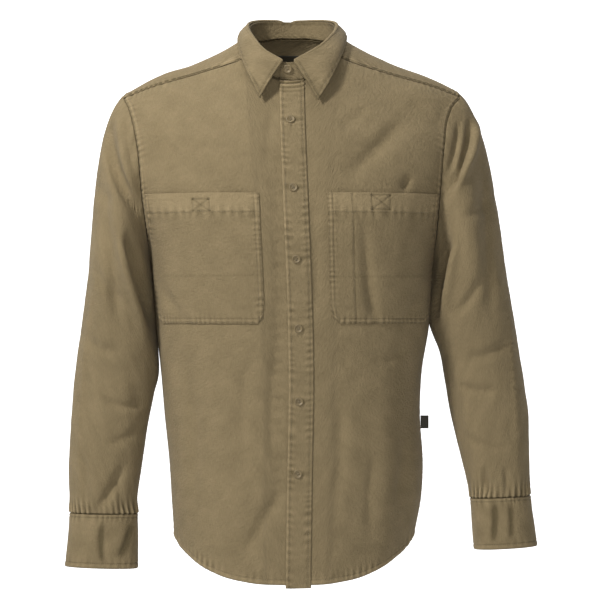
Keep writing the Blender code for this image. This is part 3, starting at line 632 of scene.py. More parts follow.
def body_y(x, z, facing):
    """The body's surface in front or behind, over a point of the front view."""
    share = np.clip(np.abs(x) / half_width(x, z), 0, 1)
    depth = TORSO.read("front" if facing == FRONT else "back", z)
    depth = depth * (1 - share**ROUNDNESS) ** (1 / ROUNDNESS)
    rise = np.clip((crest(x) - z) / roll_height(x, facing), 0, 1)
    depth = depth * np.sqrt(1 - (1 - rise) ** 2)
    calm = np.clip((edge_at(x, z) - np.abs(x)) / FOLD_CALM_EDGE, 0, 1) * np.clip(rise * 3, 0, 1)
    return facing * (depth - fold_depth(BODY_FOLDS[facing], x, z) * calm)


def body_points(x, z, facing):
    x, z = np.broadcast_arrays(np.asarray(x, float), np.asarray(z, float))
    return np.stack([x, body_y(x, z, facing), z], axis=-1)


def neckline(x):
    """Height of the front neckline."""
    return -NECK_FRONT_DROP * np.sqrt(np.clip(1 - (np.asarray(x) / NECK_HALF_WIDTH) ** 2, 0, 1))


def seam_height(x):
    """Height of the yoke's front seam."""
    return crest(x) - CREST.read("seam_drop", np.abs(x))


def down_to_hem(heights, z, hem):
    """Heights that stretch, below the level part, to meet the curved hem."""
    low = LEVEL_END + (heights - LEVEL_END) / (SIDE_HEIGHTS[-1] - LEVEL_END) * (hem - LEVEL_END)
    return np.where(heights < LEVEL_END, low, z)


def roll_angle(x, z, facing):
    """Angle over the shoulder from its crest; past a right angle it counts on downward."""
    rise = np.maximum((crest(x) - z) / roll_height(x, facing), 0)
    over = np.arccos(np.clip(1 - rise, -1, 1))
    return facing * np.where(rise < 1, over, math.pi / 2 + rise - 1)


def over_shoulder(x, angle):
    """The body's surface at an angle over the shoulder."""
    x, angle = np.broadcast_arrays(np.asarray(x, float), np.asarray(angle, float))
    size = np.abs(angle)
    rise = np.where(size < math.pi / 2, 1 - np.cos(size), 1 + size - math.pi / 2)
    points = np.empty(x.shape + (3,))
    for facing, here in ((FRONT, angle < 0), (BACK, angle >= 0)):
        z = crest(x) - roll_height(x, facing) * rise
        points[here] = np.stack([x, body_y(x, z, facing), z], axis=-1)[here]
    return points


def at_index(values, index):
    """Values of a list read at fractional indexes."""
    return np.interp(index, np.arange(len(values)), values)


def front_points(side, rows, columns):
    """One front at fractional rows and columns, from its free edge to the side."""
    rows = np.asarray(rows, float)[:, None]
    columns = np.asarray(columns, float)[None, :]
    level = ARMHOLE_HEIGHTS.index(POCKET_TOP)
    heights = at_index(ARMHOLE_HEIGHTS + SIDE_HEIGHTS, rows)
    start = PLACKET_WIDTH if side == LEFT else UNDER_PLACKET
    lead = (0.0, PLACKET_WIDTH / 2) if side == LEFT else (UNDER_WRAP, UNDER_WRAP / 2)
    offset = at_index(lead + (start,) * len(FRONT_SHARES[side]), columns)
    share = at_index((0.0, 0.0) + FRONT_SHARES[side], columns)

    def across(z):
        free = PLACKET_EDGE.read("x", z) + offset
        return free + share * (side * side_edge(side, z) - free)

    corner = 2 + NECK_COLUMN
    bend = np.clip(1 - np.abs(columns - corner), 0, 1)
    plain_x = across(TIP_HEIGHT)
    top_x = plain_x + (side * NECK_SEAM_X - plain_x) * bend
    seam = seam_height(top_x) + (neckline(NECK_SEAM_X) - seam_height(NECK_SEAM_X)) * bend
    top = np.where(columns <= corner, neckline(top_x), seam)
    drop = (heights - TIP_HEIGHT) / (POCKET_TOP - TIP_HEIGHT)
    hem_share = np.clip(np.abs(across(LEVEL_END)) / side_edge(side, LEVEL_END), 0, 1)
    z = np.where(rows <= level, top + (POCKET_TOP - top) * drop, heights)
    z = down_to_hem(heights, z, HEM.read("front", hem_share))
    shift = bend * (side * NECK_SEAM_X - plain_x) * np.clip(1 - rows / level, 0, 1)
    grid = body_points(across(np.minimum(z, TIP_HEIGHT)) + shift, z, FRONT)
    if side == RIGHT:
        grid[..., 1] += (SOLID_CLOTH + 2 * SOLID_LIFT) * np.clip(3 - columns, 0, 1)
    return grid


def armhole_points(side, places):
    """The armhole at fractional places: down the front, up the back, and over the top."""
    places = np.asarray(places, float) % ARMHOLE_COUNT
    bottom = len(ARMHOLE_HEIGHTS) - 1
    top = ARMHOLE_COUNT - 1
    heights = np.array(ARMHOLE_HEIGHTS, float)
    front_z = at_index(heights, np.minimum(places, bottom))
    back_z = at_index(heights[:0:-1], np.clip(places - bottom, 0, bottom - 1))
    front = body_points(side * side_edge(side, front_z), front_z, FRONT)
    back = body_points(side * side_edge(side, back_z), back_z, BACK)
    tip = float(side_edge(side, TIP_HEIGHT))
    corner = float(side_edge(side, heights[1]))
    keys = [top - 1, top, top + 1]
    x = np.interp(places, keys, [corner, tip, tip])
    ends = [float(roll_angle(corner, heights[1], BACK)), 0, float(roll_angle(tip, TIP_HEIGHT, FRONT))]
    over = over_shoulder(side * x, np.interp(places, keys, ends))
    loop = np.where((places <= bottom)[..., None], front, back)
    return np.where((places > top - 1)[..., None], over, loop)


def back_points(rows, columns):
    """The back at fractional rows and columns, from side to side and down to the hem."""
    heights = at_index(ARMHOLE_HEIGHTS[YOKE_CORNER:] + SIDE_HEIGHTS, np.asarray(rows, float))[:, None]
    steps = np.sin((np.asarray(columns, float) / BACK_HALF_COLUMNS - 1) * math.pi / 2)[None, :]
    z = down_to_hem(heights, heights, HEM.read("back", np.abs(steps)))
    return body_points(steps * edge_at(steps, z), z, BACK)


def yoke_points(columns, rows):
    """The yoke: columns from right front's seam round the back to left front's, rows outward."""
    columns = np.asarray(columns, float)
    steps = np.asarray(rows, float)[None, :]
    seam_steps = np.sin(np.linspace(-1, 1, 2 * BACK_HALF_COLUMNS + 1) * math.pi / 2)
    seam_x = seam_steps * edge_at(seam_steps, YOKE_SEAM)
    outer_x = list(seam_x)
    outer_angle = list(roll_angle(seam_x, YOKE_SEAM, BACK))
    for side in (RIGHT, LEFT):
        tip = float(side_edge(side, TIP_HEIGHT))
        corner = float(side_edge(side, ARMHOLE_HEIGHTS[1]))
        x = [side * tip, side * tip, side * corner]
        angle = [
            float(roll_angle(tip, TIP_HEIGHT, FRONT)),
            0.0,
            float(roll_angle(corner, ARMHOLE_HEIGHTS[1], BACK)),
        ]
        if side == RIGHT:
            outer_x = x + outer_x
            outer_angle = angle + outer_angle
        else:
            outer_x = outer_x + x[::-1]
            outer_angle = outer_angle + angle[::-1]
    last = len(outer_x) - 1
    seam_turn = math.acos(NECK_SEAM_X / NECK_HALF_WIDTH)
    front_reach = float(roll_angle(NECK_SEAM_X, neckline(NECK_SEAM_X), FRONT)) / math.sin(seam_turn)
    back_reach = float(roll_angle(0.0, NECK_BACK_HEIGHT, BACK))

    def on_outline(at, row):
        spot = at / last * 2 - 1
        turn = -seam_turn + (math.pi / 2 + seam_turn) * (1 - np.abs(spot))
        neck_x = np.where(spot < 0, -1, 1) * NECK_HALF_WIDTH * np.cos(turn)
        neck_angle = np.where(turn > 0, back_reach, -front_reach) * np.sin(turn)
        x = neck_x + (at_index(outer_x, at) - neck_x) * row
        return x, neck_angle + (at_index(outer_angle, at) - neck_angle) * row

    x, angle = on_outline(columns[:, None], steps)
    for side, end in ((RIGHT, 0.0), (LEFT, float(last))):
        corner = 2 + NECK_COLUMN
        seam = front_points(side, [0.0], corner + steps[0] * (len(FRONT_SHARES[side]) - 1 - NECK_COLUMN))[0]
        plain_x, plain_angle = on_outline(np.array([[end]]), steps)
        near = np.clip(1 - np.abs(columns - end), 0, 1)[:, None]
        x = x + near * (seam[None, :, 0] - plain_x)
        angle = angle + near * (roll_angle(seam[:, 0], seam[:, 2], FRONT)[None, :] - plain_angle)
    return over_shoulder(x, angle)


def ring(table, side, rows, angles):
    """Sections of a sleeve or cuff, each from its outer point by the front to its inner one."""
    rows = np.asarray(rows, float)[:, None]
    size = {name: table.read(name, rows) for name in table.names[1:]}
    outer = np.stack([side * size["outer_x"], size["middle_y"], size["outer_z"]], axis=-1)
    inner = np.stack([side * size["inner_x"], size["middle_y"], size["inner_z"]], axis=-1)
    middle = (outer + inner) / 2
    power = 2 / SLEEVE_ROUNDNESS
    across = (np.sign(np.cos(angles)) * np.abs(np.cos(angles)) ** power)[None, :, None]
    deep = (np.sign(np.sin(angles)) * np.abs(np.sin(angles)) ** power)[None, :]
    points = middle + across * (outer - inner) / 2
    points[..., 1] -= deep * size["depth"]
    return points, middle


def armhole_angles(places):
    """Angles round a sleeve at fractional places of its armhole."""
    return (np.asarray(places, float) + 0.5) * 2 * math.pi / ARMHOLE_COUNT


def cap_points(side, rows, places):
    """The top of a sleeve, from the armhole to the first section of its tube."""
    angles = armhole_angles(places)
    loop = armhole_points(side, places)
    first = ring(SLEEVE[side], side, [0.0], angles)[0][0]
    second = ring(SLEEVE[side], side, [0.25], angles)[0][0]
    under = (1 - np.cos(angles)) / 2
    out = side * (CAP_OUT - CAP_OUT_LOSS_UNDER * under)
    down = -CAP_DOWN - CAP_DOWN_GAIN_UNDER * under
    leave = unit(np.stack([out, -CAP_FORWARD * np.sin(angles), down], axis=-1))
    arrive = unit(second - first)
    reach = CAP_PULL * np.linalg.norm(first - loop, axis=1)[:, None]
    t = np.clip(rows / CAP_ROWS, 0, 1)[:, None, None]
    return (
        (1 + 2 * t) * (1 - t) ** 2 * loop
        + t * (1 - t) ** 2 * reach * leave
        + t * t * (3 - 2 * t) * first
        + t * t * (t - 1) * reach * arrive
    )


def sleeve_points(side, rows, places):
    """A sleeve at fractional rows from the armhole, and fractional places round it."""
    rows = np.asarray(rows, float)
    angles = armhole_angles(places)
    table = SLEEVE[side]
    low = np.clip(rows - CAP_ROWS, 0, None) / (SLEEVE_ROWS - 1) * table.rows[-1, 0]
    tube, tube_middle = ring(table, side, low, angles)
    lower = (rows >= CAP_ROWS)[:, None, None]
    grid = np.where(lower, tube, cap_points(side, rows, places))
    cap_middle = cap_points(side, rows, np.arange(ARMHOLE_COUNT)).mean(1)[:, None]
    middle = np.where(lower, tube_middle, cap_middle)
    push = np.where(
        np.sin(angles) > 0,
        fold_depth(SLEEVE_FOLDS[side, FRONT], grid[..., 0], grid[..., 2]),
        fold_depth(SLEEVE_FOLDS[side, BACK], grid[..., 0], grid[..., 2]),
    )
    calm = np.clip(rows / 2, 0, 1)[:, None] * np.abs(np.sin(angles)) ** 0.5
    return grid + unit(middle - grid) * (push * calm)[..., None], middle


def cuff_points(side, rows, places):
    """A cuff at fractional rows and places: a band whose ends lap at the back."""
    step = 2 * math.pi / CUFF_SIDES
    places = np.asarray(places, float)
    under = np.clip((CUFF_LAP_SIDES + 2) - places, 0, 2) / 2
    points, middle = ring(CUFF[side], side, rows, CUFF_LAP_START + places * step)
    inward = unit((middle - points) * FLAT)
    return points + inward * (under * (SOLID_CUFF_CLOTH + 2 * SOLID_LIFT))[None, :, None], middle


def neck_angle(points):
    """Angle round the neck from the front by the wearer's left, rising along the loop."""
    turn = np.degrees(np.arctan2(points[:, 0], -points[:, 1]))
    late = np.arange(len(points)) > len(points) // 2
    return np.where((turn < -30) | (late & (turn < 60)), turn + 360, turn)


def fold_line(angle):
    """The collar's fold at each angle, with the gap between its leaves bridged."""
    keys = COLLAR.rows[:, 0]
    keys = np.concatenate([keys[-2:] - 360, keys, keys[:2] + 360])
    line = []
    for name in ("fold_x", "fold_y", "fold_z"):
        values = COLLAR.rows[:, COLLAR.names.index(name)]
        values = np.concatenate([values[-2:], values, values[:2]])
        line.append(smooth_curve(keys, values, angle))
    return np.stack(line, axis=-1)


def away_from_neck(points):
    return unit((points - NECK_MIDDLE) * FLAT)


def stand_points(rows, base):
    """The collar stand over its own stretch of the neckline, from the seam up."""
    turn = neck_angle(base)
    top = fold_line(turn)
    outward = away_from_neck(top)
    top = top - (outward + UP) * STAND_BELOW_FOLD
    run = travel_along(base)
    top[:, 2] -= np.clip(1 - run / TAB_LENGTH, 0, 1) ** 2 * TAB_ROUND
    inner = np.clip((turn - STAND_UNDER_START) / STAND_UNDER_SPAN, 0, 1)[:, None]
    inner = inner * (SOLID_STAND_CLOTH + SOLID_LIFT)
    top = top - outward * inner
    base = base - away_from_neck(base) * inner + UP * STAND_RISE
    return base + (top - base) * np.asarray(rows, float)[:, None, None]


def collar_points(angles, turns, shares):
    """The collar: turns over its fold, then shares of the way down to its free edge."""
    fold = np.stack([COLLAR.read(name, angles) for name in ("fold_x", "fold_y", "fold_z")], axis=-1)
    edge = np.stack([COLLAR.read(name, angles) for name in ("edge_x", "edge_y", "edge_z")], axis=-1)
    outward = away_from_neck(fold)
    grid = []
    for turn in np.radians(turns):
        grid.append(fold + (outward * (math.cos(turn) - 0.2) + UP * (math.sin(turn) - 1)) * FOLD_RADIUS)
    start = grid[-1]
    for share in shares:
        swell = outward * COLLAR_SWELL * math.sin(share * math.pi)
        grid.append(start + (edge - start) * share + swell)
    return np.array(grid)


def smooth_step(value):
    value = np.clip(value, 0, 1)
    return value * value * (3 - 2 * value)


def uneven(at, size, seed):
    """Smooth uneven values from -1 to 1 along a line, the same each run."""
    values = np.random.default_rng(seed).uniform(-1, 1, NOISE_CELLS)
    place = np.asarray(at, float) / size
    low = np.floor(place).astype(int)
    t = smooth_step(place - low)
    return values[low % NOISE_CELLS] * (1 - t) + values[(low + 1) % NOISE_CELLS] * t


def cloud(u, v, size, seed):
    """Soft uneven ground from about -1 to 1 over a sheet, the same each run."""
    turn = np.random.default_rng(seed).uniform(0, 2 * math.pi, (NOISE_CELLS, NOISE_CELLS))
    i = np.floor(u / size).astype(int)
    j = np.floor(v / size).astype(int)
    f = u / size - i
    g = v / size - j

    def corner(di, dj):
        angle = turn[(i + di) % NOISE_CELLS, (j + dj) % NOISE_CELLS]
        return np.cos(angle) * (f - di) + np.sin(angle) * (g - dj)

    s = smooth_step(f)
    t = smooth_step(g)
    low = corner(0, 0) * (1 - s) + corner(1, 0) * s
    high = corner(0, 1) * (1 - s) + corner(1, 1) * s
    return 1.5 * (low * (1 - t) + high * t)


def crease_depth(rows, x, z):
    """How far the small creases push cloth in. A skewed one has a ridge beside its trough."""
    along = np.linspace(0, 1, FOLD_STEPS)
    total = np.zeros(x.shape)
    for x0, z0, x1, z1, x2, z2, width, depth, skew in rows:
        path_x = path_through(x0, x1, x2, along)
        path_z = path_through(z0, z1, z2, along)
        reach = 3 * width
        near = (x > path_x.min() - reach) & (x < path_x.max() + reach)
        near &= (z > path_z.min() - reach) & (z < path_z.max() + reach)
        if not near.any():
            continue
        away_x = x[near][:, None] - path_x
        away_z = z[near][:, None] - path_z
        closest = np.hypot(away_x, away_z).argmin(1)
        pick = np.arange(len(closest))
        away_x = away_x[pick, closest]
        away_z = away_z[pick, closest]
        turned = np.gradient(path_x)[closest] * away_z - np.gradient(path_z)[closest] * away_x
        gap = np.copysign(np.hypot(away_x, away_z), turned) / width
        fade = smooth_step(np.minimum(along[closest], 1 - along[closest]) / CREASE_END)
        total[near] += depth * fade * np.exp(-(gap**2)) * (1 + skew * gap)
    return CREASE_GAIN * total


def runs(grid, way):
    """How far each point is along its line of the grid, in millimetres."""
    steps = np.linalg.norm(np.diff(grid, axis=way), axis=-1)
    start = np.zeros_like(steps[:1] if way == DOWN else steps[:, :1])
    return np.cumsum(np.concatenate([start, steps], axis=way), axis=way)


def edge_runs(grid):
    """How far each point is from the first row, first column, last row and last column."""
    down = runs(grid, DOWN)
    across = runs(grid, ACROSS)
    return down, across, down[-1:] - down, across[:, -1:] - across


def places(line, step, edge_start=True, edge_end=True):
    """Fractional places along a line of points, a step apart and closer near its sewn ends."""
    length = travel_along(line)
    total = length[-1]
    start = np.array(EDGE_STOPS) if edge_start else np.array([0.0])
    end = total - np.array(EDGE_STOPS)[::-1] if edge_end else np.array([total])
    count = max(2, int((end[0] - start[-1]) / step) + 1)
    stops = np.concatenate([start[:-1], np.linspace(start[-1], end[0], count), end[1:]])
    return np.interp(stops, length, np.arange(len(line)))


def surface_normals(grid, outward, closed=False):
    """Direction out of the cloth at each point, on the side that is named."""
    if closed:
        wrapped = np.concatenate([grid[:, -1:], grid, grid[:, :1]], axis=1)
        across = np.gradient(wrapped, axis=1)[:, 1:-1]
    else:
        across = np.gradient(grid, axis=1)
    normal = np.cross(across, np.gradient(grid, axis=0))
    normal /= np.maximum(np.linalg.norm(normal, axis=-1), 1e-9)[..., None]
    return normal if (normal * outward).sum() > 0 else -normal


def seam_band(gap, along, seed, layers=0.5, lines=(1.8, 7.0), pucker=0.35, pitch=8.0, reach=10.0):
    """What a sewn edge adds to the cloth: turned layers, sunken stitch lines and puckers."""
    raised = layers * (1 - smooth_step((gap - lines[-1] - 0.8) / 1.8))
    groove = EDGE_GROOVE * falloff(gap, 1.0)
    for line in lines:
        groove = groove + STITCH_GROOVE * falloff(gap - line, 0.9)
    wave = np.sin(2 * math.pi * (along / pitch + 0.8 * uneven(along, 3.1 * pitch, seed)))
    wave = wave * (0.55 + 0.45 * uneven(along, 2.3 * pitch, seed + 1))
    return raised - groove + PUCKER_GAIN * pucker * wave * falloff(gap - lines[0], reach)


def pushed(grid, push, outward):
    """The cloth moved out along its normals by what is added to it, with its new normals."""
    grid = grid + surface_normals(grid, outward) * push[..., None]
    return grid, surface_normals(grid, outward)


def hem_band(gap, along, seed):
    """A narrow hem's turning, stitch line and puckers."""
    return seam_band(gap, along, seed, lines=(HEM_LINE,), pucker=0.45, pitch=10.0, reach=9.0)


def joined_band(gap, along, seed):
    """The edge of a cloth that goes under another's stitched seam."""
    return seam_band(gap, along, seed, layers=0.0, lines=(0.0,), pucker=0.3, pitch=9.0)


def undulation(u, v, seed, strength=1.0):
    """The soft unevenness of washed cloth."""
    wide = 1.3 * cloud(u, v, 70.0, seed) + 0.65 * cloud(u, v, 26.0, seed + 1)
    return strength * (wide + 0.2 * cloud(u, v, 10.0, seed + 2))


def as_mesh(name, points, faces, uvs=None, wear_and_shade=None):
    mesh = bpy.data.meshes.new(name)
    mesh.from_pydata((np.asarray(points) * MM).tolist(), [], np.asarray(faces).tolist())
    if uvs is not None:
        layer = mesh.uv_layers.new(name="cloth")
        layer.data.foreach_set("uv", np.asarray(uvs, np.float32).ravel())
    # The cloth's small relief kept as a colour tint: sunken parts get painted shade, raised parts get
    # painted highlight together with washed fading
    if wear_and_shade is not None:
        attribute = mesh.attributes.new("wear_and_shade", "FLOAT", "POINT")
        attribute.data.foreach_set("value", np.asarray(wear_and_shade, np.float32).ravel())
    mesh.shade_smooth()
    return mesh


def add_object(name, data):
    made = bpy.data.objects.new(name, data)
    bpy.context.scene.collection.objects.link(made)
    return made


def add_piece(name, mesh, look, nodes=()):
    mesh.materials.append(look)
    piece = add_object(name, mesh)
    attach(piece, "root")
    if nodes:
        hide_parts(*nodes)
    return piece


def with_turning(grid, normals, wear_and_shade):
    """The cloth with its seam turning, which goes up under the yoke."""
    turning = grid[:1] + UP * TURNING - normals[:1] * TURNING_UNDER
    return np.concatenate([turning, grid]), np.concatenate([wear_and_shade[:1], wear_and_shade])


def cloth_piece(name, grid, wear_and_shade, outward, thickness, look, closed=False, slot="cotton"):
    """A fine grid as one thin shell, which stands for the solid of the same name."""
    rows, columns = grid.shape[:2]
    last = columns if closed else columns - 1
    r, c = np.meshgrid(np.arange(rows - 1), np.arange(last), indexing="ij")
    r = r.ravel()
    c = c.ravel()
    across = np.cross(np.gradient(grid, axis=1), np.gradient(grid, axis=0))
    flip = (across[:, 1:-1] * (outward if np.ndim(outward) == 1 else outward[:, 1:-1])).sum() > 0
    corners = ((r, c), (r, c + 1), (r + 1, c + 1), (r + 1, c))
    if not flip:
        corners = (corners[0], *corners[:0:-1])
    faces = np.stack([i * columns + j % columns for i, j in corners], axis=-1)
    wide = np.concatenate([grid, grid[:, :1]], axis=1) if closed else grid
    u = runs(wide, ACROSS)
    u = u - u[:, [wide.shape[1] // 2]]
    v = runs(wide, DOWN)
    uvs = np.stack([np.stack([u[i, j], v[i, j]], axis=-1) for i, j in corners], axis=1)
    mesh = as_mesh(name, grid.reshape(-1, 3), faces, uvs / UV_UNIT, wear_and_shade)
    piece = add_piece(name + "_cloth", mesh, look, (name,))
    wall = piece.modifiers.new("cloth", "SOLIDIFY")
    wall.thickness = thickness * MM
    wall.offset = -1
    return piece


def read_line(values, travel, at):
    """Points or directions of a line, read at distances along it."""
    return np.stack([np.interp(at, travel, values[:, k]) for k in range(3)], axis=-1)


class Sewing:
    """Stitches, gathered along lines on the cloth and made into one mesh."""

    def __init__(self, name):
        self.name = name
        self.points = []
        self.faces = []
        self.seed = sum(map(ord, name))

    def run(self, line, normals, pitch=3.0, length=2.4, radius=0.34):
        """A line of stitches along points of the surface."""
        line = np.asarray(line)
        travel = travel_along(line)
        count = int(travel[-1] / pitch)
        if count < 1:
            return
        middles = (np.arange(count) + 0.5) * travel[-1] / count
        draw = np.random.default_rng(self.seed + len(self.points))
        lengths = length * draw.uniform(0.88, 1.06, count)
        place = read_line(line, travel, middles)
        up = unit(read_line(normals, travel, middles))
        forward = read_line(line, travel, middles + 0.5) - read_line(line, travel, middles - 0.5)
        forward /= np.maximum(np.linalg.norm(forward, axis=1), 1e-9)[:, None]
        sideways = np.cross(up, forward)
        forward = forward + sideways * draw.uniform(-0.06, 0.06, count)[:, None]
        for share, size, lift in ((-0.5, 0.35, -0.1), (0.0, 1.0, 0.12), (0.5, 0.35, -0.1)):
            ring_middle = place + forward * (share * lengths)[:, None] + up * lift
            for turn in range(4):
                angle = math.pi / 2 * turn
                out = sideways * math.cos(angle) + up * math.sin(angle)
                self.points.append(ring_middle + out * size * radius)
        self.faces.append((len(self.points) - 12, count))

    def edges(self, grid, normals, lines, **stitch):
        """Stitch lines, each by its way, its distance from an edge, and if that is the far one."""
        for way, gap, far in lines:
            self.run(*line_at(grid, normals, way, gap, far), **stitch)

    def finish(self, look):
        points = []
        faces = []
        total = 0
        for start, count in self.faces:
            block = np.stack(self.points[start : start + 12], axis=1)
            points.append(block.reshape(-1, 3))
            first = total + np.arange(count) * 12
            for ring_start in (0, 4):
                for k in range(4):
                    a = first + ring_start + k
                    b = first + ring_start + (k + 1) % 4
                    faces.append(np.stack([a, b, b + 4, a + 4], axis=1))
            faces.append(np.stack([first + k for k in (3, 2, 1, 0)], axis=1))
            faces.append(np.stack([first + 8 + k for k in (0, 1, 2, 3)], axis=1))
            total += count * 12
        mesh = as_mesh(self.name, np.concatenate(points), np.concatenate(faces))
        add_piece(self.name, mesh, look)


def sew(name, grid, normals, lines, look, **stitch):
    """A piece's stitches where they all run along its edges."""
    sewing = Sewing(name + "_stitches")
    sewing.edges(grid, normals, lines, **stitch)
    sewing.finish(look)


def line_at(grid, normals, way, distance, far=False, part=(0.0, 1.0)):
    """The line on a surface that runs at one distance from an edge of its grid."""
    run = runs(grid, way)
    if way == DOWN:
        run = run.T
        grid = grid.transpose(1, 0, 2)
        normals = normals.transpose(1, 0, 2)
    low = int(part[0] * (len(grid) - 1))
    high = int(part[1] * (len(grid) - 1)) + 1
    line = []
    ups = []
    for k in range(low, high):
        at = run[k, -1] - distance if far else distance
        line.append([np.interp(at, run[k], grid[k, :, i]) for i in range(3)])
        ups.append([np.interp(at, run[k], normals[k, :, i]) for i in range(3)])
    return np.array(line), np.array(ups)


def front_push(side, grid):
    """What creases and uneven cloth add to a front, still at its seams."""
    x = grid[..., 0]
    z = grid[..., 2]
    out = np.abs(x)
    top = np.where(out < NECK_SEAM_X, neckline(np.minimum(out, NECK_SEAM_X)), seam_height(x))
    calm = smooth_step((side_edge(side, z) - out) / CALM_EDGE) * smooth_step((top - z) / CALM_EDGE)
    return calm * (undulation(x, z, 11) - crease_depth(FRONT_CREASES, x, z))


def build_front(side, look, thread):
    name = "front_" + SIDE_WORDS[side]
    last = 1 + len(FRONT_SHARES[side])
    count = len(ARMHOLE_HEIGHTS + SIDE_HEIGHTS)
    line = front_points(side, [ARMHOLE_HEIGHTS.index(-260)], np.arange(last + 1))[0]
    columns = places(line, FRONT_STEPS[0], edge_start=False)
    line = front_points(side, np.arange(count), [6.0])[:, 0]
    rows = places(line, FRONT_STEPS[1])
    grid = front_points(side, rows, columns)
    down, across, to_hem, to_side = edge_runs(grid)
    armhole = (np.arange(len(rows)) < np.searchsorted(rows, len(ARMHOLE_HEIGHTS) - 1))[:, None]
    fine = seam_band(to_side, down, 21 + side, layers=np.where(armhole, 0.5, 0.3), pucker=0.3)
    fine = fine + hem_band(to_hem, across, 25 + side)
    fine = fine + joined_band(down, across, 29 + side)
    grid, normals = pushed(grid, front_push(side, grid) + fine, TO_FRONT)
    cloth_piece(name, *with_turning(grid, normals, fine), TO_FRONT, CLOTH, look)
    lines = [(ACROSS, gap, True) for gap in TWIN_LINES] + [(DOWN, HEM_LINE, True)]
    sew(name, grid, normals, lines, thread)


def pocket_grid(side, rows, columns):
    """A pocket's points on its front, with its lower corners cut."""
    grid = front_points(side, rows, columns)
    for end, step in ((0, 1), (-1, -1)):
        corner, beside, above = front_points(
            side, [rows[-1], rows[-1], rows[-1] - 1], [columns[end], columns[end] + step, columns[end]]
        )[[0, 0, 2], [0, 1, 2]]
        near_column = np.clip(1 - np.abs(columns - columns[end]), 0, 1)
        near_row = np.clip(1 - (rows[-1] - rows), 0, 1)
        weight = (near_row[:, None] * near_column[None, :])[..., None]
        grid = grid + weight * (beside + above - 2 * corner) * POCKET_CORNER
    return grid


def line_gap(across, down, ends):
    """How far each point is from a straight line between two points."""
    x0, y0, x1, y1 = ends
    length = math.hypot(x1 - x0, y1 - y0)
    ahead = np.clip(((across - x0) * (x1 - x0) + (down - y0) * (y1 - y0)) / length**2, 0, 1)
    return np.hypot(across - x0 - ahead * (x1 - x0), down - y0 - ahead * (y1 - y0))


def build_pocket(side, look, thread):
    name = "pocket_" + SIDE_WORDS[side]
    heights = ARMHOLE_HEIGHTS + SIDE_HEIGHTS
    first, last = (2 + column for column in POCKET_COLUMNS)
    top = heights.index(POCKET_TOP)
    bottom = heights.index(POCKET_BOTTOM)
    line = front_points(side, [top + 2], np.arange(first, last + 1))[0]
    columns = first + places(line, POCKET_STEP)
    line = front_points(side, np.arange(top, bottom + 1), [6.0])[:, 0]
    rows = top + places(line, POCKET_STEP)
    grid = pocket_grid(side, rows, columns)
    down, across, to_bottom, to_end = edge_runs(grid)
    fine = 0
    for gap, along, seed in ((across, down, 31), (to_end, down, 35), (to_bottom, across, 39)):
        fine = fine + seam_band(gap, along, seed + side, layers=0.25, pucker=0.28)
    hem = 0.55 * (1 - smooth_step((down - POCKET_HEM) / 1.8))
    hem = hem - STITCH_GROOVE * falloff(down - POCKET_HEM, 1.0)
    wave = np.sin(across / 2.2 + 2.0 * uneven(across, 22.0, 43 + side))
    hem = hem + 0.4 * wave * falloff(down - POCKET_HEM, 8.0)
    middle = smooth_step(np.minimum(across, to_end) / 45) * smooth_step(to_bottom / 45)
    puff = POCKET_PUFF * middle * (1 + 0.5 * cloud(grid[..., 0], grid[..., 2], 45.0, 47 + side))
    fine = fine + hem
    for ends in box_tack_lines(side):
        fine = fine - STITCH_GROOVE * falloff(line_gap(across, down, ends), 1.1)
    if PEN_SLOT[side]:
        fine = fine - STITCH_GROOVE * falloff(across - PEN_SLOT[side], 1.1)
    for *ends, depth in POCKET_LINES[side]:
        fine = fine - depth * falloff(line_gap(across, down, ends), 1.6)
    grid, normals = pushed(grid, front_push(side, grid) + LAYER + fine + puff, TO_FRONT)
    cloth_piece(name, grid, fine, TO_FRONT, CLOTH, look)
    sewing = Sewing(name + "_stitches")
    for gap in TWIN_LINES:
        sewing.edges(grid, normals, ((ACROSS, gap, False), (ACROSS, gap, True), (DOWN, gap, True)))
    sewing.edges(grid, normals, [(DOWN, POCKET_HEM, False)])
    if PEN_SLOT[side]:
        sewing.edges(grid, normals, [(ACROSS, PEN_SLOT[side], False)])
    build_box_tack(sewing, grid, normals, side)
    sewing.finish(thread)


def box_tack_lines(side):
    """The ends of each line in the stitched box, in the order they are sewn."""
    left, right, upper, lower = BOX_TACK[side]
    return (
        (left, upper, right, upper),
        (right, upper, right, lower),
        (right, lower, left, lower),
        (left, lower, left, upper),
        (left, upper, right, lower),
        (right, upper, left, lower),
    )


def build_box_tack(sewing, grid, normals, side):
    """The stitched box with a cross in it, in the middle of a pocket's hem."""
    run = runs(grid, ACROSS)[0]
    drop = runs(grid, DOWN)[:, 0]

    def spot(across, down):
        c = np.interp(across, run, np.arange(len(run)))
        r = np.interp(down, drop, np.arange(len(drop)))
        i = int(r)
        j = int(c)
        u = r - i
        v = c - j

        def blended(values):
            upper = values[i, j] * (1 - v) + values[i, j + 1] * v
            lower = values[i + 1, j] * (1 - v) + values[i + 1, j + 1] * v
            return upper * (1 - u) + lower * u

        return blended(grid), blended(normals)

    for ends in box_tack_lines(side):
        start, end = np.array(ends).reshape(2, 2)
        steps = [spot(*(start + (end - start) * t)) for t in np.linspace(0, 1, 9)]
        line, ups = (np.array(values) for values in zip(*steps))
        sewing.run(line, ups, pitch=2.4, length=2.0)


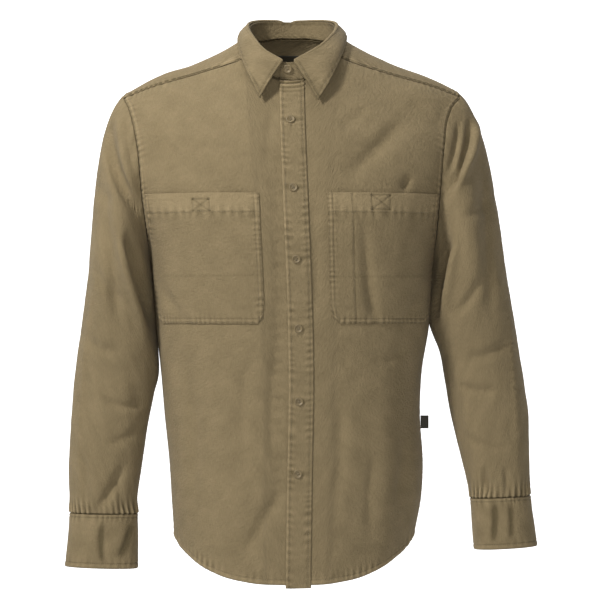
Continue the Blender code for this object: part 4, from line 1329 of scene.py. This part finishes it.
def placket_surface():
    """The placket's fine grid with its normals."""
    count = len(ARMHOLE_HEIGHTS + SIDE_HEIGHTS)
    columns = places(front_points(LEFT, [12.0], [0, 1, 2])[0], PLACKET_STEPS[0])
    rows = places(front_points(LEFT, np.arange(count), [1.0])[:, 0], PLACKET_STEPS[1])
    grid = front_points(LEFT, rows, columns)
    grid[..., 2] -= PLACKET_DROP * np.clip(rows - (count - 2), 0, 1)[:, None]
    down, across, _, to_end = edge_runs(grid)
    sewn = {"layers": 0.0, "lines": (PLACKET_LINE,), "pucker": 0.3, "pitch": 10.0, "reach": 6.0}
    fine = seam_band(across, down, 51, **sewn)
    fine = fine + seam_band(to_end, down, 53, **sewn)
    fine = fine + seam_band(down, across, 55, layers=0.0, lines=(0.0,), pucker=0.0)
    top = falloff(down, 16.0)
    fine = fine + 1.5 * top * np.sin(down * 0.98 + 0.09 * (across - 14) + 0.4)
    fine = fine + 0.9 * falloff(across, 3.5)
    for height in BUTTON_HEIGHTS:
        near_x = across - BUTTON_INSET
        near_z = grid[..., 2] - height
        pull = np.exp(-((near_x / 13.0) ** 2) - ((near_z / 7.0) ** 2))
        fine = fine - 0.8 * pull * np.cos(near_z / 2.2)
    return *pushed(grid, front_push(LEFT, grid) + LAYER + fine, TO_FRONT), fine


def build_placket(surface, look, thread):
    grid, normals, fine = surface
    cloth_piece("placket", grid, fine, TO_FRONT, CLOTH, look)
    sewing = Sewing("placket_stitches")
    sewing.edges(grid, normals, [(ACROSS, PLACKET_LINE, far) for far in (False, True)])
    sewing.edges(grid, normals, [(DOWN, HEM_LINE, True)])
    for height in BUTTON_HEIGHTS:
        row = int(np.argmin(np.abs(grid[:, 3, 2] - height)))
        column = int(np.argmin(np.abs(runs(grid, ACROSS)[row] - BUTTON_INSET)))
        buttonhole(sewing, grid[row, column], normals[row, column], UP)
    sewing.finish(thread)


def buttonhole(sewing, middle, normal, along):
    """Close bars of thread down both sides of a slit, under a button."""
    normal = normal / np.linalg.norm(normal)
    across = np.cross(along, normal)
    across /= np.linalg.norm(across)
    along = np.cross(normal, across)
    for side in (-1, 1):
        start = middle + across * side * 0.8 - along * BUTTONHOLE / 2
        for bar in np.arange(0, BUTTONHOLE, 0.55):
            spot = start + along * bar
            ends = np.array([spot - across * 0.8, spot + across * 0.8]) + normal * 0.15
            sewing.run(ends, np.array([normal, normal]), pitch=1.6, length=1.6, radius=0.3)
    for end in (-1, 1):
        spot = middle + along * end * BUTTONHOLE / 2
        ends = np.array([spot - across * 1.7, spot + across * 1.7]) + normal * 0.2
        sewing.run(ends, np.array([normal, normal]), pitch=3.4, length=3.4, radius=0.45)


def build_back(look, thread):
    count = len(ARMHOLE_HEIGHTS[YOKE_CORNER:] + SIDE_HEIGHTS)
    line = back_points([8.0], np.arange(2 * BACK_HALF_COLUMNS + 1))[0]
    columns = places(line, BACK_STEPS[0])
    line = back_points(np.arange(count), [6.0])[:, 0]
    rows = places(line, BACK_STEPS[1])
    grid = back_points(rows, columns)
    down, across, to_hem, to_end = edge_runs(grid)
    to_side = np.minimum(across, to_end)
    calm = smooth_step(to_side / CALM_EDGE) * smooth_step(down / CALM_EDGE)
    x = grid[..., 0]
    z = grid[..., 2]
    push = calm * (undulation(x, z, 61, 1.3) - crease_depth(BACK_CREASES, x, z))
    fine = seam_band(to_side, down, 63, layers=0.2, lines=(0.0,), pucker=0.3)
    fine = fine + hem_band(to_hem, across, 65)
    fine = fine + joined_band(down, across, 67)
    grid, normals = pushed(grid, push + fine, TO_BACK)
    cloth_piece("back", *with_turning(grid, normals, fine), TO_BACK, CLOTH, look)
    lines = [(DOWN, HEM_LINE, True)] + [(ACROSS, TWIN_LINES[0], far) for far in (False, True)]
    sew("back", grid, normals, lines, thread)


def build_yoke(look, thread):
    around = 2 * BACK_HALF_COLUMNS + 7
    outer = yoke_points(np.arange(around), [0.6])[:, 0]
    columns = places(outer, YOKE_STEPS[0])
    line = yoke_points([5.0], np.linspace(0, 1, 9))[0]
    rows = places(line, YOKE_STEPS[1]) / 8
    grid = yoke_points(columns, rows)
    outward = np.array([0.0, 0.5, 1.0])
    turn, out, to_other, to_end = edge_runs(grid)
    to_front = np.minimum(turn, to_other)
    x = grid[..., 0]
    y = grid[..., 1]
    calm = smooth_step(to_end / CALM_EDGE) * smooth_step(to_front / CALM_EDGE)
    push = calm * smooth_step(out / CALM_EDGE) * undulation(x, y, 71, 0.8)
    fine = seam_band(to_end, turn, 73)
    fine = fine + seam_band(to_front, out, 75)
    fine = fine + joined_band(out, turn, 77)
    grid, normals = pushed(grid, push + fine, outward)
    cloth_piece("yoke", grid, fine, outward, CLOTH, look)
    ways = ((ACROSS, True), (DOWN, False), (DOWN, True))
    sew("yoke", grid, normals, [(way, gap, far) for gap in TWIN_LINES for way, far in ways], thread)


def build_sleeve(side, look, thread):
    name = "sleeve_" + SIDE_WORDS[side]
    last = CAP_ROWS + SLEEVE_ROWS - 1
    line = sleeve_points(side, [CAP_ROWS], np.arange(ARMHOLE_COUNT + 1))[0][0]
    around = places(line, SLEEVE_STEPS[0], edge_start=False, edge_end=False)[:-1]
    line = sleeve_points(side, np.arange(last + 1), [3.0])[0][:, 0]
    rows = places(line, SLEEVE_STEPS[1])
    grid, middle = sleeve_points(side, rows, around)
    normals = surface_normals(grid, grid - middle, closed=True)
    down, turn, to_cuff, _ = edge_runs(grid)
    x = grid[..., 0]
    z = grid[..., 2]
    angles = armhole_angles(around)
    facing_front = np.sin(angles) > 0
    calm = smooth_step(down / CALM_EDGE) * smooth_step(to_cuff / 8) * np.abs(np.sin(angles)) ** 0.35
    creases = np.where(
        facing_front,
        crease_depth(SLEEVE_CREASES[side, FRONT], x, z),
        crease_depth(SLEEVE_CREASES[side, BACK], x, z),
    )
    push = calm * (undulation(turn, z, 81 + side, 1.2) - creases)
    snug = falloff(z - SNUG_HEIGHT, SNUG_REACH) * np.clip(-np.cos(angles), 0, 1) ** 4
    push = push + SNUG_DEPTH * snug
    seam = int(np.argmin(np.abs(around - ARMHOLE_COUNT // 2)))
    under = np.abs(turn - turn[:, [seam]])
    sewn = {"layers": 0.0, "lines": (0.0,)}
    fine = seam_band(down, turn, 85 + side, pucker=0.25, **sewn)
    fine = fine + seam_band(to_cuff, turn, 89 + side, pucker=1.0, reach=16.0, **sewn)
    fine = fine + 0.4 * (1 - smooth_step((under - 3.6) / 1.5)) - 0.25 * falloff(under - 3.2, 0.9)
    grid = grid + normals * (push + fine)[..., None]
    tuck = grid[:1] - side * np.array([3.0, 0.0, 0.0]) - normals[:1] * 1.4
    inside = grid[-1:] - UP * np.array([[[2.0]], [[5.0]]]) - normals[-1:] * np.array([[[1.6]], [[2.4]]])
    grid = np.concatenate([tuck, grid, inside])
    middle = np.concatenate([middle[:1], middle, middle[-1:], middle[-1:]])
    outward = grid - middle
    normals = surface_normals(grid, outward, closed=True)
    wear_and_shade = np.concatenate([fine[:1], fine, fine[-1:], fine[-1:]])
    cloth_piece(name, grid, wear_and_shade, outward, CLOTH, look, closed=True)
    sewing = Sewing(name + "_stitches")
    for step in (-1, 1):
        sewing.run(grid[2:, seam + step], normals[2:, seam + step])
    sewing.finish(thread)
    return grid, normals, around


def build_slit_strip(side, surface, look, thread):
    """The bound slit above a cuff, at the back of the sleeve."""
    name = "sleeve_strip_" + SIDE_WORDS[side]
    grid, normals, around = surface
    ends = (SLIT_COLUMNS[0], SLIT_COLUMNS[1] - 1)
    first, last = (int(np.argmin(np.abs(around - column))) for column in ends)
    low = len(grid) - int(SLIT_LENGTH / SLEEVE_STEPS[1])
    ups = normals[low:-2, first : last + 1]
    strip = grid[low:-2, first : last + 1] + ups * LAYER
    cloth_piece(name, strip, np.zeros(strip.shape[:2]), np.array([side, BACK, 0.0]), CLOTH, look)
    lines = [(ACROSS, SLIT_LINE, far) for far in (False, True)] + [(DOWN, SLIT_TOP_LINE, False)]
    sew(name, strip, ups, lines, thread)


def build_cuff(side, look, thread):
    name = "cuff_" + SIDE_WORDS[side]
    last = CUFF_SIDES + CUFF_LAP_SIDES
    line = cuff_points(side, [1.0], np.arange(last + 1))[0][0]
    around = places(line, CUFF_STEPS[0])
    line = cuff_points(side, [0.0, 1.0, 2.0], [10.0])[0][:, 0]
    rows = places(line, CUFF_STEPS[1])
    grid, middle = cuff_points(side, rows, around)
    outward = grid - middle
    down, turn, to_edge, _ = edge_runs(grid)
    sewn = {"layers": 0.2, "lines": (CUFF_SEAM_LINE,), "pucker": 0.35, "pitch": 9.0, "reach": 7.0}
    fine = seam_band(down, turn, 91 + side, **sewn)
    sewn = {"layers": 0.2, "lines": (HEM_LINE,), "pucker": 0.2, "pitch": 11.0, "reach": 8.0}
    fine = fine + seam_band(to_edge, turn, 95 + side, **sewn)
    calm = smooth_step(down / 10) * smooth_step(to_edge / 12)
    creases = crease_depth(CUFF_CREASES[side], grid[..., 0], grid[..., 2])
    creases = creases * (grid[..., 1] < middle[..., 1])
    fine = fine + calm * (0.35 * cloud(turn, down, 24.0, 97 + side) - creases)
    grid, normals = pushed(grid, fine, outward)
    cloth_piece(name, grid, fine, outward, CUFF_CLOTH, look)
    lines = ((DOWN, CUFF_SEAM_LINE, False), (DOWN, HEM_LINE, True), (ACROSS, CUFF_END_LINE, True))
    sew(name, grid, normals, lines, thread)
    return grid, normals


def neck_loop():
    """The whole neckline, from left front's free edge round the back to right front's."""
    corner = 2 + NECK_COLUMN
    left = front_points(LEFT, [0.0], np.linspace(0, corner, 40))[0]
    right = front_points(RIGHT, [0.0], np.linspace(corner, 0, 40))[0]
    yoke = yoke_points(np.linspace(2 * BACK_HALF_COLUMNS + 6, 0, 120), [0.0])[:, 0]
    return np.concatenate([left[:-1], yoke, right[1:]])


def build_stand(look, thread):
    base = neck_loop()
    columns = places(base, STAND_STEP)
    base = read_line(base, np.arange(len(base)), columns)
    heights = np.linspace(0, 1, 17)
    grid = stand_points(heights, base)
    outward = away_from_neck(grid)
    down, turn, to_top, _ = edge_runs(grid)
    sewn = {"layers": 0.0, "lines": (STAND_LINE,), "pitch": 9.0}
    fine = seam_band(down, turn, 101, pucker=0.25, reach=5.0, **sewn)
    fine = fine + seam_band(to_top, turn, 103, pucker=0.15, reach=4.0, **sewn)
    grid, normals = pushed(grid, fine, outward)
    cloth_piece("collar_stand", grid, fine, outward, STAND_CLOTH, look)
    lines = ((DOWN, STAND_LINE, False), (DOWN, STAND_LINE, True), (ACROSS, TAB_LINE, False))
    sew("collar_stand", grid, normals, lines, thread)
    return grid, normals


def build_collar(look, thread):
    angles = np.linspace(COLLAR.rows[0, 0], COLLAR.rows[-1, 0], 200)
    turns = np.linspace(180, 0, 13)
    shares = np.concatenate([np.linspace(0, 1, 34)[1:-6], 1 - np.array([7, 5, 3.6, 2.4, 1.2, 0]) / 62])
    grid = collar_points(angles, turns, shares)
    near_fold = falloff(grid[..., 2].max() - grid[..., 2], 9.0) * (grid[..., 1] > 0)
    grid[..., 2] -= NOTCH_DEPTH * near_fold * falloff(grid[..., 0] - NOTCH_X, NOTCH_HALF)
    outward = away_from_neck(grid)
    outward[: len(turns) // 2] *= 0
    down, turn, to_edge, to_other = edge_runs(grid)
    leaf = (np.arange(len(grid)) > len(turns))[:, None]
    to_front = np.minimum(turn, to_other)
    sewn = {"layers": 0.0, "lines": (COLLAR_LINE,), "pitch": 11.0}
    fine = seam_band(to_edge, turn, 111, pucker=0.18, reach=6.0, **sewn)
    fine = fine + leaf * seam_band(to_front, down, 113, pucker=0.15, **sewn)
    x = grid[..., 0]
    z = grid[..., 2]
    soft = smooth_step(to_edge / 12) * leaf
    fine = fine + soft * (0.5 * cloud(x, z, 30.0, 117) - crease_depth(COLLAR_CREASES, x, z))
    grid, normals = pushed(grid, fine, outward)
    cloth_piece("collar", grid, fine, outward, COLLAR_CLOTH, look)
    start = len(turns) / len(grid)
    sewing = Sewing("collar_stitches")
    sewing.edges(grid, normals, [(DOWN, COLLAR_LINE, True)])
    for far in (False, True):
        sewing.run(*line_at(grid, normals, ACROSS, COLLAR_LINE, far, part=(start, 0.93)))
    sewing.finish(thread)


def button_mesh():
    """A turned button with a raised rim, a dished middle and four holes."""
    mesh = bpy.data.meshes.new("button_profile")
    points = [(out * BUTTON_RADIUS * MM, 0, up * BUTTON_HEIGHT * MM) for out, up in BUTTON_PROFILE]
    mesh.from_pydata(points, [(i, i + 1) for i in range(len(points) - 1)], [])
    turned = add_object("button_profile", mesh)
    screw = turned.modifiers.new("turn", "SCREW")
    screw.steps = 48
    screw.render_steps = 48
    screw.use_merge_vertices = True
    screw.merge_threshold = 0.0001
    drills = bmesh.new()
    for x in (-BUTTON_HOLE_SPACING, BUTTON_HOLE_SPACING):
        for y in (-BUTTON_HOLE_SPACING, BUTTON_HOLE_SPACING):
            bmesh.ops.create_cone(
                drills,
                cap_ends=True,
                segments=16,
                radius1=BUTTON_HOLE * MM,
                radius2=BUTTON_HOLE * MM,
                depth=4 * BUTTON_HEIGHT * MM,
                matrix=Matrix.Translation(Vector((x, y, BUTTON_HEIGHT / 2)) * MM),
            )
    drill_mesh = bpy.data.meshes.new("button_holes")
    drills.to_mesh(drill_mesh)
    drills.free()
    drill = add_object("button_holes", drill_mesh)
    cut = turned.modifiers.new("holes", "BOOLEAN")
    cut.object = drill
    depsgraph = bpy.context.evaluated_depsgraph_get()
    made = bpy.data.meshes.new_from_object(turned.evaluated_get(depsgraph))
    bpy.data.objects.remove(turned)
    bpy.data.objects.remove(drill)
    made.shade_smooth()
    made.set_sharp_from_angle(angle=math.radians(38))
    made.materials.clear()
    return made


def place_button(name, mesh, surface, look, thread, turn):
    """A button on its cloth where the solid is, with its thread through the holes."""
    grid, normals = surface
    low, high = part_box(name)
    centre = np.array((low + high) / 2) / MM
    gap = np.linalg.norm(grid - centre, axis=-1)
    row, column = np.unravel_index(gap.argmin(), gap.shape)
    near = falloff(gap, 6.0)[..., None]
    outward = Vector((normals * near).sum((0, 1))).normalized()
    height = Vector(centre - grid[row, column]).dot(outward)
    foot = Vector(centre) - outward * (height - BUTTON_GAP)
    matrix = outward.to_track_quat("Z", "Y").to_matrix().to_4x4() @ Matrix.Rotation(turn, 4, "Z")
    piece = bpy.data.objects.new(name + "_fine", mesh.copy())
    piece.data.materials.append(look)
    piece.matrix_world = Matrix.Translation(foot * MM) @ matrix
    bpy.context.scene.collection.objects.link(piece)
    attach(piece, "root")
    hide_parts(name)
    threads = Sewing(name + "_thread")
    axes = np.array(matrix.to_3x3())
    up = axes[:, 2]
    base = np.array(foot) + up * (BUTTON_HEIGHT * 0.62 + 0.15)
    for a, b in (((-1, -1), (1, 1)), ((-1, 1), (1, -1))):
        for shift in (-0.3, 0.0, 0.3):
            ends = []
            for x, y in (a, b):
                spot = axes[:, 0] * x + axes[:, 1] * y
                ends.append(base + spot * BUTTON_HOLE_SPACING + axes[:, 0] * shift)
            ends = np.array(ends)
            reach = np.linalg.norm(ends[1] - ends[0])
            threads.run(ends, np.array([up, up]), pitch=reach, length=reach, radius=0.22)
    threads.finish(thread)


def build_labels(look, thread):
    """The bare label inside the neck and the bare flag in the left side seam."""
    width, height = NECK_LABEL
    x = NECK_LABEL_X + np.linspace(-width / 2, width / 2, 48)
    z = np.linspace(NECK_LABEL_TOP, NECK_LABEL_TOP - height, 26)
    grid = body_points(x[None, :], z[:, None], BACK)
    grid[..., 1] -= SOLID_CLOTH + 3 * SOLID_LIFT + 0.2
    normals = surface_normals(grid, TO_FRONT)
    across = runs(grid, ACROSS)
    edge = np.minimum(across, across[:, -1:] - across)
    fine = 0.3 * np.sin(across / 5.0) * falloff(edge, 12.0)
    fine = fine - 0.25 * falloff(edge - LABEL_LINE, 0.9)
    grid = grid + normals * fine[..., None]
    cloth_piece("neck_label", grid, fine, TO_FRONT, LABEL_CLOTH, look, slot="label")
    lines = [(ACROSS, LABEL_LINE, far) for far in (False, True)]
    sew("neck_label", grid, normals, lines, thread, pitch=2.2, length=1.7, radius=0.25)
    low, high = (np.array(corner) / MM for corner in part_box("side_label"))
    across = np.linspace(low[0], high[0], 14)
    heights = np.linspace(high[2], low[2], 22)
    bend = 0.9 * np.sin((across - low[0]) / (high[0] - low[0]) * math.pi * 0.8)
    values = np.broadcast_arrays(across[None, :], bend[None, :] - 0.4, heights[:, None])
    grid = np.stack(values, axis=-1).copy()
    plain = np.zeros(grid.shape[:2])
    cloth_piece("side_label", grid, plain, TO_FRONT, LABEL_CLOTH, look, slot="label")


class Nodes:
    """Short ways to add and join shader nodes."""

    def __init__(self, name):
        self.material = bpy.data.materials.new(name)
        self.material.use_nodes = True
        self.tree = self.material.node_tree
        self.shader = self.tree.nodes["Principled BSDF"]

    def add(self, kind, **values):
        node = self.tree.nodes.new(kind)
        for name, value in values.items():
            if hasattr(node, name):
                setattr(node, name, value)
            else:
                node.inputs[name.replace("_", " ")].default_value = value
        return node

    def join(self, source, target):
        self.tree.links.new(source, target)

    def maths(self, operation, a, b, clamp=False):
        node = self.add("ShaderNodeMath", operation=operation, use_clamp=clamp)
        for place, value in enumerate((a, b)):
            if isinstance(value, (int, float)):
                node.inputs[place].default_value = value
            else:
                self.join(value, node.inputs[place])
        return node.outputs[0]

    def scaled(self, value, gain, shift):
        """A value times a gain, plus a shift."""
        result = self.maths("MULTIPLY_ADD", value, gain)
        result.node.inputs[2].default_value = shift
        return result

    def bumped(self, height, strength, distance):
        """A bump that is made of a height and joined to the shader."""
        bump = self.add("ShaderNodeBump", Strength=strength, Distance=distance)
        self.join(height, bump.inputs["Height"])
        self.join(bump.outputs["Normal"], self.shader.inputs["Normal"])
        return bump

    def mix(self, factor, a, b):
        node = self.add("ShaderNodeMix", data_type="RGBA")
        for place, value in ((0, factor), (6, a), (7, b)):
            if isinstance(value, tuple):
                node.inputs[place].default_value = (*value, 1)
            elif isinstance(value, (int, float)):
                node.inputs[place].default_value = value
            else:
                self.join(value, node.inputs[place])
        return node.outputs[2]


def cotton_material():
    """Washed cotton twill: steep fine ribs, uneven yarns, soft mottling, and a tint from the cloth's relief
    that paints shade into stitch grooves, pucker troughs and creases and paints highlight, with some washed
    fading, onto raised seams and pucker crests.
    """
    made = Nodes("cotton_twill")
    place = made.add("ShaderNodeUVMap", uv_map="cloth")
    turned = made.add("ShaderNodeMapping")
    turned.inputs["Rotation"].default_value[2] = TWILL_ANGLE
    made.join(place.outputs["UV"], turned.inputs["Vector"])
    ribs = made.add("ShaderNodeTexWave", Scale=TWILL_SCALE, Distortion=0.6, Detail=1.0)
    made.join(turned.outputs["Vector"], ribs.inputs["Vector"])
    yarn = made.add("ShaderNodeTexNoise", Scale=11.0, Detail=3.0)
    stretched = made.add("ShaderNodeMapping")
    stretched.inputs["Scale"].default_value = (1.0, 0.12, 1.0)
    made.join(place.outputs["UV"], stretched.inputs["Vector"])
    made.join(stretched.outputs["Vector"], yarn.inputs["Vector"])
    mottle = made.add("ShaderNodeTexNoise", Scale=0.35, Detail=4.0, Roughness=0.6)
    made.join(place.outputs["UV"], mottle.inputs["Vector"])
    # Painted shade and highlight from the cloth's relief, with some washed fading: stitch grooves, pucker
    # troughs and creases darker, raised layers and crests paler
    wear_and_shade = made.add("ShaderNodeAttribute", attribute_name="wear_and_shade")
    tone = made.scaled(mottle.outputs["Fac"], 0.5, 0.25)
    worn_and_shaded = made.maths("MULTIPLY", wear_and_shade.outputs["Fac"], 0.42)
    tone = made.maths("ADD", tone, worn_and_shaded)
    tone = made.maths("ADD", tone, made.scaled(yarn.outputs["Fac"], 0.5, -0.25))
    tone = made.maths("ADD", tone, made.scaled(ribs.outputs["Fac"], 0.14, -0.07), clamp=True)
    crinkle = made.add("ShaderNodeTexNoise", Scale=2.4, Detail=5.0, Roughness=0.66)
    made.join(place.outputs["UV"], crinkle.inputs["Vector"])
    colour = made.mix(tone, COTTON_DEEP, COTTON_PALE)
    made.join(colour, made.shader.inputs["Base Color"])
    made.shader.inputs["Roughness"].default_value = 0.88
    made.shader.inputs["Specular IOR Level"].default_value = 0.15
    made.shader.inputs["Sheen Weight"].default_value = 0.05
    made.shader.inputs["Sheen Roughness"].default_value = 0.5
    height = made.maths("ADD", ribs.outputs["Fac"], yarn.outputs["Fac"])
    bump = made.bumped(height, 0.5, 0.00012)
    broad = made.add("ShaderNodeBump", Strength=1.0, Distance=0.002)
    made.join(crinkle.outputs["Fac"], broad.inputs["Height"])
    made.join(broad.outputs["Normal"], bump.inputs["Normal"])
    return made.material


def thread_material():
    made = Nodes("sewing_thread")
    place = made.add("ShaderNodeTexCoord")
    noise = made.add("ShaderNodeTexNoise", Scale=900.0, Detail=2.0)
    made.join(place.outputs["Object"], noise.inputs["Vector"])
    colour = made.mix(noise.outputs["Fac"], THREAD_DEEP, THREAD_PALE)
    made.join(colour, made.shader.inputs["Base Color"])
    made.shader.inputs["Roughness"].default_value = 0.6
    made.shader.inputs["Sheen Weight"].default_value = 0.2
    made.bumped(noise.outputs["Fac"], 0.4, 0.0001)
    return made.material


def button_material():
    made = Nodes("resin_button")
    place = made.add("ShaderNodeTexCoord")
    cloudy = made.add("ShaderNodeTexNoise", Scale=260.0, Detail=4.0, Distortion=1.2)
    made.join(place.outputs["Object"], cloudy.inputs["Vector"])
    colour = made.mix(cloudy.outputs["Fac"], BUTTON_DEEP, BUTTON_PALE)
    made.join(colour, made.shader.inputs["Base Color"])
    scratch = made.add("ShaderNodeTexNoise", Scale=1500.0, Detail=2.0)
    made.join(place.outputs["Object"], scratch.inputs["Vector"])
    rough = made.scaled(scratch.outputs["Fac"], 0.25, 0.4)
    made.join(rough, made.shader.inputs["Roughness"])
    return made.material


def label_material():
    made = Nodes("woven_label")
    place = made.add("ShaderNodeUVMap", uv_map="cloth")
    weave = made.add("ShaderNodeTexBrick", Scale=14.0)
    weave.inputs["Color1"].default_value = (0.036, 0.03, 0.016, 1)
    weave.inputs["Color2"].default_value = (0.024, 0.02, 0.01, 1)
    weave.inputs["Mortar"].default_value = (0.012, 0.01, 0.006, 1)
    made.join(place.outputs["UV"], weave.inputs["Vector"])
    made.join(weave.outputs["Color"], made.shader.inputs["Base Color"])
    made.shader.inputs["Roughness"].default_value = 0.55
    made.bumped(weave.outputs["Fac"], 0.5, 0.0001)
    return made.material


def build_stage():
    """A pale floor far below, which curves up into a glowing backdrop behind."""
    profile = [(-STAGE_REACH, 0.0), (BACKDROP_START, 0.0)]
    for turn in np.linspace(0, math.pi / 2, 12)[1:]:
        profile.append((BACKDROP_START + 2.0 * math.sin(turn), 2.0 * (1 - math.cos(turn))))
    profile.append((BACKDROP_START + 2.0, 7.0))
    points = []
    for y, z in profile:
        for x in (-STAGE_REACH, STAGE_REACH):
            points.append((x, y, FLOOR_HEIGHT + z))
    faces = [(2 * k, 2 * k + 1, 2 * k + 3, 2 * k + 2) for k in range(len(profile) - 1)]
    mesh = bpy.data.meshes.new("floor")
    mesh.from_pydata(points, [], faces)
    mesh.shade_smooth()
    floor = add_object("floor", mesh)
    for name, glow in (("pale_floor", 0.0), ("pale_backdrop", BACKDROP_GLOW)):
        paper = Nodes(name)
        paper.shader.inputs["Base Color"].default_value = (0.86, 0.86, 0.86, 1)
        paper.shader.inputs["Roughness"].default_value = 0.9
        paper.shader.inputs["Emission Color"].default_value = (1, 1, 1, 1)
        paper.shader.inputs["Emission Strength"].default_value = glow
        mesh.materials.append(paper.material)
    for face in mesh.polygons[1:]:
        face.material_index = 1


def add_light(name, place, target, size, power, colour):
    light = bpy.data.lights.new(name, "AREA")
    light.shape = "DISK"
    light.size = size
    light.energy = power
    light.color = colour
    lamp = add_object(name, light)
    lamp.location = place
    lamp.rotation_euler = (Vector(target) - Vector(place)).to_track_quat("-Z", "Y").to_euler()


def build_light_and_camera():
    for name, place, size, power, colour in LIGHTS:
        add_light(name, place, (0, 0, -0.36), size, power, colour)
    bpy.context.scene.view_settings.view_transform = "Standard"
    world = bpy.data.worlds.new("studio")
    world.use_nodes = True
    world.node_tree.nodes["Background"].inputs["Color"].default_value = (1, 1, 1, 1)
    world.node_tree.nodes["Background"].inputs["Strength"].default_value = WORLD_STRENGTH
    bpy.context.scene.world = world
    eye = bpy.data.cameras.new("camera")
    eye.sensor_width = 36.0
    eye.lens = 36.0 * CAMERA_DISTANCE / (PHOTO_PIXELS * PIXEL * MM)
    camera = add_object("camera", eye)
    centre = PHOTO_PIXELS / 2
    camera.location = (
        (centre - ORIGIN_PIXEL[0]) * PIXEL * MM,
        -CAMERA_DISTANCE,
        (ORIGIN_PIXEL[1] - centre) * PIXEL * MM,
    )
    camera.rotation_euler = (math.pi / 2, 0, 0)
    eye.clip_end = 100.0
    bpy.context.scene.camera = camera


def main():
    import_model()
    cotton = cotton_material()
    thread = thread_material()
    for side in (RIGHT, LEFT):
        build_front(side, cotton, thread)
        build_pocket(side, cotton, thread)
        surface = build_sleeve(side, cotton, thread)
        build_slit_strip(side, surface, cotton, thread)
    build_back(cotton, thread)
    build_yoke(cotton, thread)
    placket = placket_surface()
    build_placket(placket, cotton, thread)
    build_collar(cotton, thread)
    stand = build_stand(cotton, thread)
    resin = button_material()
    mesh = button_mesh()
    turns = iter(BUTTON_TURNS)
    place_button("button_neck", mesh, stand, resin, thread, next(turns))
    for number in range(1, len(BUTTON_HEIGHTS) + 1):
        place_button(f"button_front_{number}", mesh, placket[:2], resin, thread, next(turns))
    for side, word in SIDE_WORDS.items():
        cuff = build_cuff(side, cotton, thread)
        place_button("button_cuff_" + word, mesh, cuff, resin, thread, next(turns))
    build_labels(label_material(), thread)
    build_stage()
    build_light_and_camera()


main()
